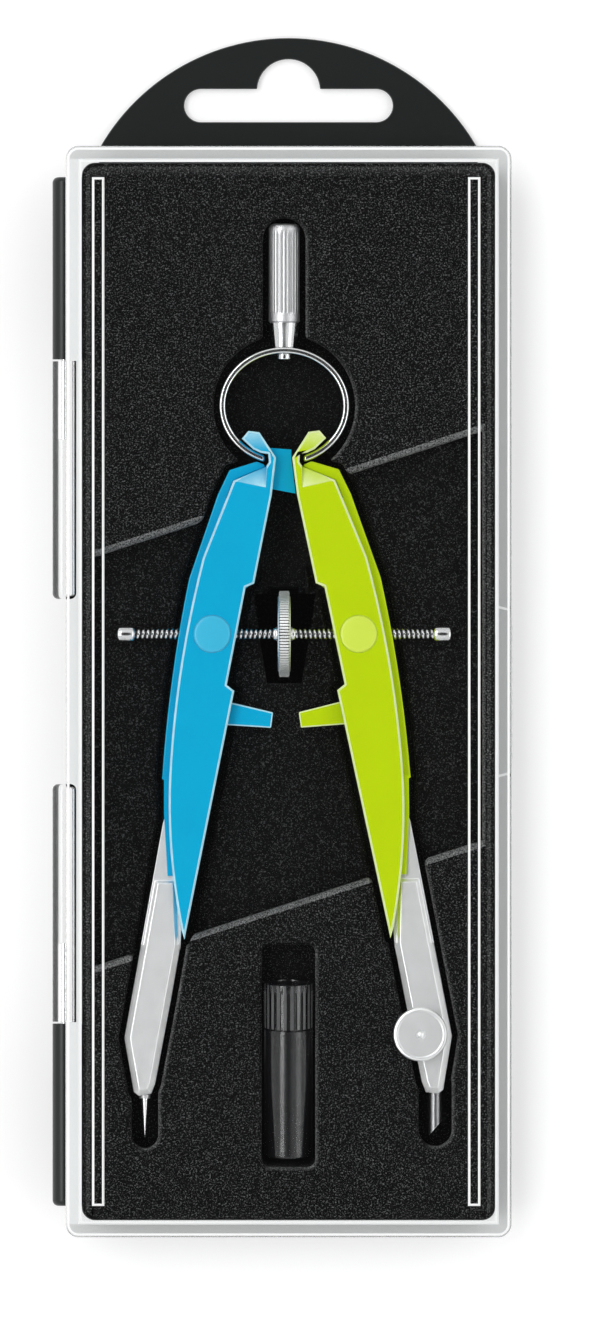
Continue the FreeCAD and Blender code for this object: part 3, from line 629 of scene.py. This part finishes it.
def smooth(degrees):
    """Shade the active piece smooth over edges up to an angle."""
    bpy.ops.object.shade_smooth_by_angle(angle=math.radians(degrees))


# %% Rounded edges
SHARP = math.radians(32)
SMOOTH = 40


def weigh_edges(piece, wanted):
    """Give each sharp edge a bevel weight, from its middle and from whether it stands out."""
    mesh = piece.data
    beside = {}
    for face in mesh.polygons:
        ring = list(face.vertices)
        for start, end in zip(ring, ring[1:] + ring[:1]):
            beside.setdefault((min(start, end), max(start, end)), []).append((face, start))
    weight = mesh.attributes.get("bevel_weight_edge")
    if not weight:
        weight = mesh.attributes.new("bevel_weight_edge", "FLOAT", "EDGE")
    for edge in mesh.edges:
        sides = beside.get(edge.key, [])
        share = 0
        if len(sides) == 2 and sides[0][0].normal.angle(sides[1][0].normal, 0) > SHARP:
            ends = [mesh.vertices[index].co for index in edge.vertices]
            along = ends[1] - ends[0] if sides[0][1] == edge.vertices[0] else ends[0] - ends[1]
            convex = sides[0][0].normal.cross(sides[1][0].normal).dot(along) > 0
            share = wanted((ends[0] + ends[1]) / 2, convex)
        weight.data[edge.index].value = share


def round_edges(piece, width, wanted=lambda spot, convex: True, segments=3, noted=True):
    """Round the wanted edges with a Bevel modifier, and note the new faces as edge."""
    select_only(piece)
    if len(piece.data.materials) < 2:
        piece.data.materials.append(edge_highlight_finish)
    weigh_edges(piece, wanted)
    bevel = piece.modifiers.new("edges", "BEVEL")
    bevel.width = width
    bevel.segments = segments
    bevel.limit_method = "WEIGHT"
    bevel.use_clamp_overlap = False
    bevel.material = 1 if noted else -1
    bpy.ops.object.modifier_apply(modifier="edges")


def keep_flats(piece):
    """Carry the noted faces into the edge attribute, and keep flat faces flat to the light."""
    select_only(piece)
    edge = piece.data.attributes.new("edge", "FLOAT", "CORNER")
    for face in piece.data.polygons:
        for corner in face.loop_indices:
            edge.data[corner].value = face.material_index
    smooth(SMOOTH)
    piece.modifiers.new("flats", "WEIGHTED_NORMAL").keep_sharp = True
    bpy.ops.object.modifier_apply(modifier="flats")


# %% Painting, and taking the place of a solid
def paint(piece, name, shade):
    """Set an attribute corner by corner, from a face and the place of one of its corners."""
    mesh = piece.data
    values = mesh.attributes.get(name) or mesh.attributes.new(name, "FLOAT", "CORNER")
    for face in mesh.polygons:
        for corner in face.loop_indices:
            values.data[corner].value = shade(face, mesh.vertices[mesh.loops[corner].vertex_index].co)


def stand_in(piece, *members):
    """Let a finished piece take the place of solids of one body."""
    finish = finishes[slot_of[members[0]]]
    piece.data.materials.clear()
    piece.data.materials.append(finish)
    for face in piece.data.polygons:
        face.material_index = 0
    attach(piece, body_of[members[0]])
    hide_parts(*members)


# %% Softened pieces
# Widths of the rounds in mm
EDGE_ROUNDS = {
    "base_tray": 0.25, "hang_tab": 0.15, "ring_spring": 0.36, "ring_nut": 0.15, "left_rear_cover": 0.2,
    "right_rear_cover": 0.2, "left_release_lever": 0.2, "right_release_lever": 0.2, "needle_ferrule": 0.1,
    "compass_lead": 0.05, "lead_box_tube": 0.12, "lead_box_cap": 0.05,
}
PLAIN_EDGES = ("left_rear_cover", "right_rear_cover")
KNUCKLES = -33 * MM


def stands_out(spot, convex):
    """Outer edges, but not those of the hinge's knuckles, which are round already."""
    return convex and spot.x > KNUCKLES


# Bevel faces get the pale edge colour: painted highlights on most pieces, wear on the black tray and tab.
for node, width in EDGE_ROUNDS.items():
    piece = merged_copy(node, node + "_soft")
    round_edges(piece, width * MM, stands_out, noted=node not in PLAIN_EDGES)
    keep_flats(piece)
    stand_in(piece, node)
    print("%-22s %6d faces" % (piece.name, len(piece.data.polygons)))

# %% [markdown]
# ## Flocked insert
# The insert is a moulding under a coat of flock, so all its rims are soft. Two Bevels could round the
# slanted band and the pockets one after the other, but one Bevel with two weights rounds them together
# where they meet. Painted highlights lie along the band's edges and on the sides of the pockets that face
# the light, and the flange over the tray is painted paler: the edge attribute says where.

# %% Rims and painted highlights of the insert
NEAR = 0.05 * MM
BAND_ANGLE = math.radians(18)
BAND_HALF = 29.85 * MM
BAND_CENTRE = -1.1 * MM
BAND_ROUND = 1.0 * MM
POCKET_SHARE = 0.55
RIM_REACH = 1.2 * MM
FLANGE_X, FLANGE_Y = 30.4 * MM, 79.0 * MM
FLANGE_PALE = 0.25
BORDER_GAP = 0.1 * MM
HIGHLIGHT_DEPTH = 1.0 * MM
TO_LIGHT = Vector((-0.8, 0.6, 0))
FLAT = 0.999
insert_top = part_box("flocked_insert")[1].z


def at_band_edge(spot, reach):
    """Whether a place lies within reach of an edge of the slanted band."""
    across = (spot.y - BAND_CENTRE) * math.cos(BAND_ANGLE) - spot.x * math.sin(BAND_ANGLE)
    return abs(abs(across) - BAND_HALF) < reach


def rim_share(spot, convex):
    """Full weight along the band, less round the pockets, and none on short rims beside the band's edge."""
    if not convex:
        return 0
    if at_band_edge(spot, NEAR):
        return 1
    return 0 if at_band_edge(spot, RIM_REACH) else POCKET_SHARE


def rim_highlight_and_pale_flange(face, corner):
    """Painted highlight by the place of a face and the turn of a rim to the light, and a paler flange."""
    if corner.z < insert_top - HIGHLIGHT_DEPTH:
        return 0
    # Painted highlight on the rounded rims, strongest along the band and where a rim turns to the light.
    if face.material_index == 1:
        on_border = abs(corner.x) > FLANGE_X or abs(corner.y) > FLANGE_Y
        turned_to = 0 if on_border else max(0, face.normal.dot(TO_LIGHT))
        return 1 if at_band_edge(face.center, BAND_ROUND) else turned_to
    # The flange is painted a little paler.
    if abs(face.center.x) > FLANGE_X or corner.y > FLANGE_Y + BORDER_GAP:
        return FLANGE_PALE
    return 0


# %% Flocked insert
insert = merged_copy("flocked_insert", "flocked_insert_soft")
for cut in (X_AXIS * FLANGE_X, X_AXIS * -FLANGE_X, Y_AXIS * FLANGE_Y):
    cut_across(insert, cut, cut.normalized())
round_edges(insert, BAND_ROUND, rim_share, segments=4)
keep_flats(insert)
paint(insert, "edge", rim_highlight_and_pale_flange)
stand_in(insert, "flocked_insert")
print("insert", len(insert.data.polygons), "faces")

# %% [markdown]
# ## Clear lid
# A clear moulding is seen by its edges. The edges of the rails, of the ceiling and of the outer round get a
# pale matt finish and show as white lines, painted highlights. Lamps mirrored in each edge could draw such
# lines too, but they would wander with the view. The bottom of the walls gets a grey matt finish, painted
# light that shows through them as a grey band.

# %% Clear lid
RAIL_ROUND = 0.36 * MM
RAIL_HEIGHT = 0.4 * MM
CEILING_ROUND = 0.55 * MM
CEILING = 17.8 * MM
OUTER_ROUND = 0.7 * MM
ROUND_LOW, ROUND_HIGH = 0.72, 0.997
RIM_AREA = 20 * MM * MM
RIM_DROP = 1.0 * MM
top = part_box("lid")[1].z
lid = merged_copy("lid", "lid_soft")
round_edges(lid, RAIL_ROUND, lambda spot, convex: spot.z > top - NEAR)
round_edges(lid, CEILING_ROUND, lambda spot, convex: abs(spot.z - CEILING) < NEAR, segments=4)
keep_flats(lid)
highlighted = [face.material_index == 1 for face in lid.data.polygons]
stand_in(lid, "lid")
lid.data.materials.append(edge_highlight_finish)
lid.data.materials.append(painted_wall_band)
# Painted highlights on the rounded edges, painted light on the bottom of the walls.
for face, matt in zip(lid.data.polygons, highlighted):
    on_rim = face.normal.z < -FLAT and face.area > RIM_AREA and face.center.z < CEILING - RIM_DROP
    on_round = ROUND_LOW < face.normal.z < ROUND_HIGH and face.center.z > top - RAIL_HEIGHT - OUTER_ROUND
    face.material_index = 2 if on_rim else 1 if matt or on_round else 0
matt_count = sum(face.material_index > 0 for face in lid.data.polygons)
print("lid", len(lid.data.polygons), "faces,", matt_count, "of them matt")

# %% [markdown]
# ## Metal shanks
# The shanks are die cast, and their chamfers carry a painted highlight. The chamfers could have a material
# of their own, but the metal already has an attribute for painted highlights, so they are painted into it.

# %% Shanks
SIDES = ("left", "right")
PALE_LOW, PALE_HIGH = 0.25, 0.93
SATIN_LIFT = 0.4
SHANK_ROUND = 0.1 * MM


def on_chamfer(face):
    """Whether a face slopes as the chamfers do."""
    return PALE_LOW < face.normal.z < PALE_HIGH


for side in SIDES:
    shank = merged_copy(side + "_shank", side + "_shank_soft")
    round_edges(shank, SHANK_ROUND)
    keep_flats(shank)
    # Painted highlight on the chamfers, and the flats a little brighter.
    paint(shank, "edge", lambda face, corner: 1 if on_chamfer(face) else SATIN_LIFT)
    stand_in(shank, side + "_shank")
    print(shank.name, len(shank.data.polygons), "faces")

# %% [markdown]
# ## Front covers
# The coloured covers are flat mouldings with a chamfer all round that carries a painted highlight. Their
# hooks grow paler towards the tip and the small facets beside the hooks towards their lower edge, as
# painted highlights too. The fades follow the shape, so they are painted corner by corner instead of with
# a texture. A cut across the root of each hook gives its fade a row of points to start from.

# %% Front covers
pivot = (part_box("pivot_pin")[0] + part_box("pivot_pin")[1]) / 2
cover_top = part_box("left_front_cover")[1].z
TOP_REACH, CHAMFER_REACH = 0.1 * MM, 0.4 * MM
HOOK_FROM, HOOK_TO = 3.0 * MM, 6.0 * MM
HOOK_HIGHLIGHT = 0.75
FACET_FROM = Vector((8.1, -1.6)) * MM
FACET_TO = Vector((2.8, -2.7)) * MM
FACET_REACH = 3.3 * MM
FACET_RUN = 4.0 * MM
FACET_HIGHLIGHT = 0.2
FACET_SPARE = 0.2 * MM
COVER_ROUND = 0.06 * MM


def cover_shade(face, corner):
    """Painted highlights: chamfers, hooks fading paler to their tip, facets fading paler to their lower
    edge.
    """
    if on_chamfer(face):
        return 1.0
    out, up = abs(corner.x - pivot.x), corner.y - pivot.y
    if face.normal.z > FLAT and corner.z > cover_top - TOP_REACH:
        return HOOK_HIGHLIGHT * min(1, max(0, (up - HOOK_FROM) / (HOOK_TO - HOOK_FROM)))
    if PALE_HIGH < face.normal.z < FLAT and up > FACET_TO.y - FACET_SPARE:
        along = (FACET_TO - FACET_FROM).normalized()
        gone = Vector((out, up)) - FACET_FROM
        away = abs(gone.x * along.y - gone.y * along.x)
        return max(0, 1 - away / FACET_REACH) * min(1, FACET_HIGHLIGHT + gone.length / FACET_RUN)
    return 0.0


for side in SIDES:
    cover = merged_copy(side + "_front_cover", side + "_front_cover_soft")
    round_edges(cover, COVER_ROUND, lambda spot, convex: convex and spot.z > cover_top - CHAMFER_REACH)
    cut_across(cover, Y_AXIS * (pivot.y + HOOK_FROM), Y_AXIS)
    keep_flats(cover)
    # Painted highlights on the chamfers, the hooks and the facets.
    paint(cover, "edge", cover_shade)
    stand_in(cover, side + "_front_cover")
    print(cover.name, len(cover.data.polygons), "faces")

# %% [markdown]
# ## Turned parts
# The grip, the wheel, the thumb screw and the caps of the spindle are lathe work, and the buttons are as
# round. Cylinders with rounded edges would come near, but a turned section holds every step of the
# profile. Each starts as a ring of points that is opened and laid out as half of its section, and Spin
# turns that section about its own axis.

# %% Places and sizes of the solids
def middle(node):
    """The middle of a solid's box."""
    low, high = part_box(node)
    return (low + high) / 2


def extent(node):
    """The three sizes of a solid's box."""
    low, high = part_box(node)
    return high - low


# %% Lathe
def open_line(name, points):
    """Lay a ring of vertices out along a row of points and open it between the last and the first."""
    bpy.ops.object.select_all(action="DESELECT")
    bpy.ops.mesh.primitive_circle_add(vertices=len(points), radius=MM)
    piece = bpy.context.object
    piece.name = piece.data.name = name
    for vertex, point in zip(piece.data.vertices, points):
        vertex.co = point
    ends = {0, len(points) - 1}
    bpy.ops.object.mode_set(mode="EDIT")
    bpy.ops.mesh.select_mode(type="EDGE")
    bpy.ops.mesh.select_all(action="DESELECT")
    bpy.ops.object.mode_set(mode="OBJECT")
    for edge in piece.data.edges:
        edge.select = set(edge.vertices) == ends
    bpy.ops.object.mode_set(mode="EDIT")
    bpy.ops.mesh.delete(type="EDGE")
    return piece


def turned(name, centre, axis, section, steps=48):
    """Turn a section, given as (place along the axis, radius), about an axis through a point."""
    out = Z_AXIS if axis != Z_AXIS else X_AXIS
    piece = open_line(name, [centre + axis * along + out * radius for along, radius in section])
    bpy.ops.mesh.select_all(action="SELECT")
    bpy.ops.mesh.spin(steps=steps, angle=2 * math.pi, center=centre, axis=axis)
    bpy.ops.mesh.select_all(action="SELECT")
    bpy.ops.mesh.remove_doubles(threshold=MERGE)
    bpy.ops.mesh.normals_make_consistent(inside=False)
    bpy.ops.object.mode_set(mode="OBJECT")
    return piece


# %% Pressed grooves
ROW_START = 0.4


def press_in(piece, centre, axis, count, factor, low, high):
    """Press one lengthwise row of each pitch towards the axis, between two places along it."""
    select_only(piece)
    bpy.ops.object.mode_set(mode="EDIT")
    bpy.ops.mesh.select_mode(type="VERT")
    bpy.ops.mesh.select_all(action="DESELECT")
    bpy.ops.object.mode_set(mode="OBJECT")
    side = axis.yzx
    other = axis.zxy
    for vertex in piece.data.vertices:
        arm = vertex.co - centre
        turn = math.atan2(arm.dot(side), arm.dot(other)) / math.tau * count
        vertex.select = low < arm.dot(axis) < high and abs(turn - round(turn)) > ROW_START
    bpy.ops.object.mode_set(mode="EDIT")
    bpy.ops.transform.resize(value=[1 if part else factor for part in axis], center_override=centre)
    bpy.ops.object.mode_set(mode="OBJECT")


GROOVE_START = 0.08 * MM
END_TURN = 0.5


def in_groove(face, corner, axis, centre, radius):
    """1 at the bottom of a groove pressed into a turned barrel, 0 elsewhere."""
    arm = corner - centre
    out = (arm - axis * arm.dot(axis)).length
    return float(abs(face.normal.dot(axis)) < END_TURN and out < radius - GROOVE_START)


print("lathe ready, grooves counted from", GROOVE_START, "m deep")


# %% [markdown]
# ## Handle grip
# The grip is a plain barrel with a rounded end and fine ribs along it. The ribs could be cut out with a
# Boolean, but a barrel turned in even steps has the rows of points already: one row in each pitch is
# pressed inwards.

# %% Handle grip
GRIP_SHADE = 0.5
GRIP_RIBS = 30
GRIP_STEPS = 2
GRIP_PRESS = 0.95
GRIP_ROUND, GRIP_EDGE = 0.7 * MM, 0.25 * MM
COLLAR_END, RIBS_FROM, RIBS_END = 1.4 * MM, 1.7 * MM, 1.6 * MM
PLAIN_END = 1.5 * MM
CORNER = 0.3
reach = extent("handle_grip").y / 2
radius = extent("handle_grip").x / 2
section = [(-reach, 0), (-reach, radius - GRIP_EDGE), (-reach + GRIP_EDGE, radius),
           (-reach + COLLAR_END, radius), (-reach + RIBS_FROM, radius), (reach - RIBS_END, radius),
           (reach - GRIP_ROUND, radius), (reach - CORNER * GRIP_ROUND, radius - CORNER * GRIP_ROUND),
           (reach, radius - GRIP_ROUND), (reach, 0)]
centre = middle("handle_grip")
grip = turned("handle_grip_turned", centre, Y_AXIS, section, GRIP_STEPS * GRIP_RIBS)
press_in(grip, centre, Y_AXIS, GRIP_RIBS, GRIP_PRESS, -reach + PLAIN_END, reach - PLAIN_END)
smooth(degrees=30)
# Painted shade in the grooves between the ribs.
paint(grip, "groove_shade", lambda face, corner: GRIP_SHADE * in_groove(face, corner, Y_AXIS, centre, radius))
stand_in(grip, "handle_grip")
print("grip with", GRIP_RIBS, "ribs")

# %% [markdown]
# ## Adjusting wheel
# The wheel is a disc with a raised boss on both sides and a rounded rim, cut by fine grooves for the
# finger. It is made as the grip is, with more steps to a pitch, so that the grooves are narrow and the
# ribs between them broad.

# %% Adjusting wheel
WHEEL_GROOVES = 88
WHEEL_STEPS = 6
WHEEL_PRESS = 0.955
WHEEL_ROUND = 0.3 * MM
WHEEL_PLAIN = 0.2 * MM
BOSS_HEIGHT = 0.15 * MM
BOSS_TOP, BOSS_FOOT = 0.9 * MM, 0.75 * MM
reach = extent("adjusting_wheel").x / 2
radius = extent("adjusting_wheel").y / 2
face_at = reach - BOSS_HEIGHT
section = [(-reach, 0), (-reach, radius - BOSS_TOP), (-face_at, radius - BOSS_FOOT),
           (-face_at, radius - WHEEL_ROUND), (-reach + WHEEL_ROUND, radius),
           (reach - WHEEL_ROUND, radius), (face_at, radius - WHEEL_ROUND),
           (face_at, radius - BOSS_FOOT), (reach, radius - BOSS_TOP), (reach, 0)]
centre = middle("adjusting_wheel")
wheel = turned("adjusting_wheel_turned", centre, X_AXIS, section, WHEEL_STEPS * WHEEL_GROOVES)
press_in(wheel, centre, X_AXIS, WHEEL_GROOVES, WHEEL_PRESS, -reach + WHEEL_PLAIN, reach - WHEEL_PLAIN)
smooth(degrees=20)
# The whole wheel takes the bright metal colour, and painted shade darkens its grooves.
paint(wheel, "edge", lambda face, corner: 1)
paint(wheel, "groove_shade", lambda face, corner: in_groove(face, corner, X_AXIS, centre, radius))
stand_in(wheel, "adjusting_wheel")
print("wheel with", WHEEL_GROOVES, "grooves")

# %% [markdown]
# ## Thumb screw
# The screw's head has a rim and a small dimple with a point in it, which carry painted highlights. All are
# steps of one turned section, and the painted highlights go into the edge attribute.

# %% Thumb screw
def foot(low, high):
    """The middle of a box taken down to the ground, for sections given by their heights."""
    return Vector(((low.x + high.x) / 2, (low.y + high.y) / 2, 0))


def rim(top, radius, profile):
    """Points of a rim, from how far below the top and how far in from the side each lies, in mm."""
    return [(top - down * MM, radius - inward * MM) for down, inward in profile]


HEAD_HEIGHT = 2.5 * MM
HEAD_UNDER = 0.3 * MM
HEAD_STEPS = 64
STEM_RADIUS = 1.2 * MM
POINT_RADIUS = 0.5 * MM
RIM_WIDTH = 0.5 * MM
HEAD_RIM = ((0.45, 0), (0.12, 0.12), (0, 0.4), (0.05, 0.65), (0.12, 0.75))
# Below the top and from the axis, in mm
HEAD_DIMPLE = ((0.12, 0.85), (0.35, 0.75), (0.35, 0.55), (0.15, 0.42), (0.05, 0.2), (0.02, 0))
low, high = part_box("thumb_screw")
centre = foot(low, high)
radius = (high.x - low.x) / 2
under = high.z - HEAD_HEIGHT
section = [(low.z, 0), (low.z, STEM_RADIUS), (under, STEM_RADIUS), (under, radius - HEAD_UNDER)]
section += [(under + HEAD_UNDER, radius)] + rim(high.z, radius, HEAD_RIM)
section += [(high.z - down * MM, out * MM) for down, out in HEAD_DIMPLE]
screw = turned("thumb_screw_turned", centre, Z_AXIS, section, HEAD_STEPS)
smooth(degrees=35)


def screw_shade(face, corner):
    """Painted highlights on the point in the dimple and on the rim of the head; the rest a little brighter.
    """
    out = (face.center - centre).xy.length
    return 1 if out < POINT_RADIUS or out > radius - RIM_WIDTH else SATIN_LIFT


# Painted highlights on the point and the rim.
paint(screw, "edge", screw_shade)
stand_in(screw, "thumb_screw")
print("thumb screw, head", round(2 * radius / MM, 2), "mm across")


# %% [markdown]
# ## Buttons
# Each button caps a nut of the spindle. It is a flat dome that fills its hole almost to the edge of the
# cover. A flattened sphere would be round all over, so a turned section is used, with a flat top and a
# small round at the side.

# %% Buttons
BUTTON_FIT = 0.085 * MM
BUTTON_RIM = ((0.32, 0), (0.14, 0.06), (0.05, 0.2), (0, 0.5))
BUTTON_STEPS = 64
for side in SIDES:
    low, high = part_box(side + "_button")
    centre = foot(low, high)
    radius = (high.x - low.x) / 2 + BUTTON_FIT
    section = [(low.z, 0), (low.z, radius)] + rim(high.z, radius, BUTTON_RIM) + [(high.z, 0)]
    button = turned(side + "_button_turned", centre, Z_AXIS, section, BUTTON_STEPS)
    smooth(degrees=60)
    stand_in(button, side + "_button")
    print(button.name, "%.2f mm across" % (2 * radius / MM))


# %% [markdown]
# ## Caps and collars of the spindle
# These are small barrels with rounded ends. One of each is turned, copied to the other end and joined to
# its copy, because the solid model holds each pair as one node.

# %% Caps and collars of the spindle
def turned_pair(node, name, across, edge):
    """Turn one small barrel at the left end of a solid pair, copy it to the right end and join the two."""
    low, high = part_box(node)
    radius = (high.y - low.y) / 2
    centre = middle(node)
    spot = Vector((low.x + across / 2, centre.y, centre.z))
    end, inset = across / 2, CORNER * edge
    section = [(-end, 0), (-end, radius - edge), (-end + inset, radius - inset), (-end + edge, radius),
               (end - edge, radius), (end - inset, radius - inset), (end, radius - edge), (end, 0)]
    first = turned(name, spot, X_AXIS, section)
    select_only(first)
    bpy.ops.object.duplicate()
    second = bpy.context.object
    bpy.ops.transform.translate(value=(high.x - low.x - across, 0, 0))
    bpy.ops.object.transform_apply(location=True)
    select_only(first, second)
    bpy.ops.object.join()
    smooth(degrees=50)
    stand_in(first, node)
    print(name, "made twice")


turned_pair("spindle_end_caps", "spindle_caps_turned", across=2.75 * MM, edge=0.4 * MM)
turned_pair("spindle_collars", "spindle_collars_turned", across=0.75 * MM, edge=0.2 * MM)

# %% [markdown]
# ## Painted highlights of the lead box
# The crests of the cap's ribs and the sides of the tube carry painted highlights. Noise could spread them
# all over, but these sit only at the sides and the crests, so they are painted by place into the edge
# attribute. The plain ring at the end of the cap is left out.

# %% Painted highlights of the lead box
SIDE_TURN = 0.93
SIDE_HIGHLIGHT = 0.7
CAP_RING = 1.3 * MM
CREST_DEPTH = 0.06 * MM
CREST_HIGHLIGHT = 0.6
tube = bpy.data.objects["lead_box_tube_soft"]
# Painted highlight along both sides of the tube.
paint(tube, "edge", lambda face, corner: SIDE_HIGHLIGHT * (abs(face.normal.x) > SIDE_TURN))
cap = bpy.data.objects["lead_box_cap_soft"]
pulls = [joint for joint in frame["record"]["behaviour"]["joints"] if joint["name"] == "lead_box_cap_pull"]
cap_axis = Vector(pulls[0]["axis"])
cap_middle = middle("lead_box_cap")
cap_radius = extent("lead_box_cap").x / 2
cap_length = (extent("lead_box_cap").y - 2 * cap_radius * cap_axis.z) / cap_axis.y


def crest_highlight(face, corner):
    """Painted highlight on the crests of the cap's ribs, and none on its end ring."""
    arm = face.center - cap_middle
    along = arm.dot(cap_axis)
    on_crest = (arm - cap_axis * along).length > cap_radius - CREST_DEPTH
    return CREST_HIGHLIGHT * (on_crest and along < cap_length / 2 - CAP_RING)


paint(cap, "edge", crest_highlight)
print("cap of %.1f mm with worn crests" % (cap_length / MM))

# %% [markdown]
# ## Threaded spindle
# The left half has a left-hand thread and the right half a right-hand one, so one turn of the wheel moves
# both nuts apart. A bump could show the thread, but its crests also cut the outline. So one turn of the
# thread's outline is wound along the axis by a Screw modifier.

# %% Thread
THREAD_PITCH = 0.72 * MM
THREAD_DEPTH = 0.26 * MM
THREAD_STEPS = 20
ROOT_SHADE = 0.9


def thread(name, start, length, hand):
    """Wind a thread of the spindle's radius from a place along X; hand is 1 or -1."""
    centre = middle("spindle")
    crest = extent("spindle").z / 2
    root = crest - THREAD_DEPTH
    # Shares of the pitch, and the radius there
    outline = [(0, root), (0.15, root), (0.42, crest), (0.72, crest), (1, root)]
    piece = open_line(name, [Vector((along * THREAD_PITCH, 0, radius)) for along, radius in outline])
    bpy.ops.object.mode_set(mode="OBJECT")
    wind = piece.modifiers.new("wind", "SCREW")
    wind.axis = "X"
    wind.angle = hand * math.tau
    wind.screw_offset = THREAD_PITCH
    wind.iterations = int(length / THREAD_PITCH) - 1
    wind.steps = wind.render_steps = THREAD_STEPS
    wind.use_merge_vertices = True
    bpy.ops.object.modifier_apply(modifier="wind")
    piece.location = (start, centre.y, centre.z)
    select_only(piece)
    bpy.ops.object.transform_apply(location=True)
    bpy.ops.object.mode_set(mode="EDIT")
    bpy.ops.mesh.select_all(action="SELECT")
    bpy.ops.mesh.remove_doubles(threshold=MERGE)
    bpy.ops.mesh.fill_holes(sides=0)
    bpy.ops.mesh.normals_make_consistent(inside=False)
    bpy.ops.object.mode_set(mode="OBJECT")
    return piece


# %% Both halves of the spindle
low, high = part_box("spindle")
half = (high.x - low.x) / 2
left_half = thread("spindle_thread", low.x, half, hand=-1)
right_half = thread("spindle_thread_right", low.x + half, half, hand=1)
select_only(left_half, right_half)
bpy.ops.object.join()
smooth(degrees=28)
spindle_middle = middle("spindle")
spindle_radius = extent("spindle").z / 2


def root_shade(face, corner):
    """Painted shade in the thread, by how deep a corner lies."""
    return ROOT_SHADE * (spindle_radius - (corner - spindle_middle).yz.length) / THREAD_DEPTH


# Painted shade in the roots of the thread.
paint(left_half, "groove_shade", root_shade)
stand_in(left_half, "spindle")
print("thread of", len(left_half.data.polygons), "faces")
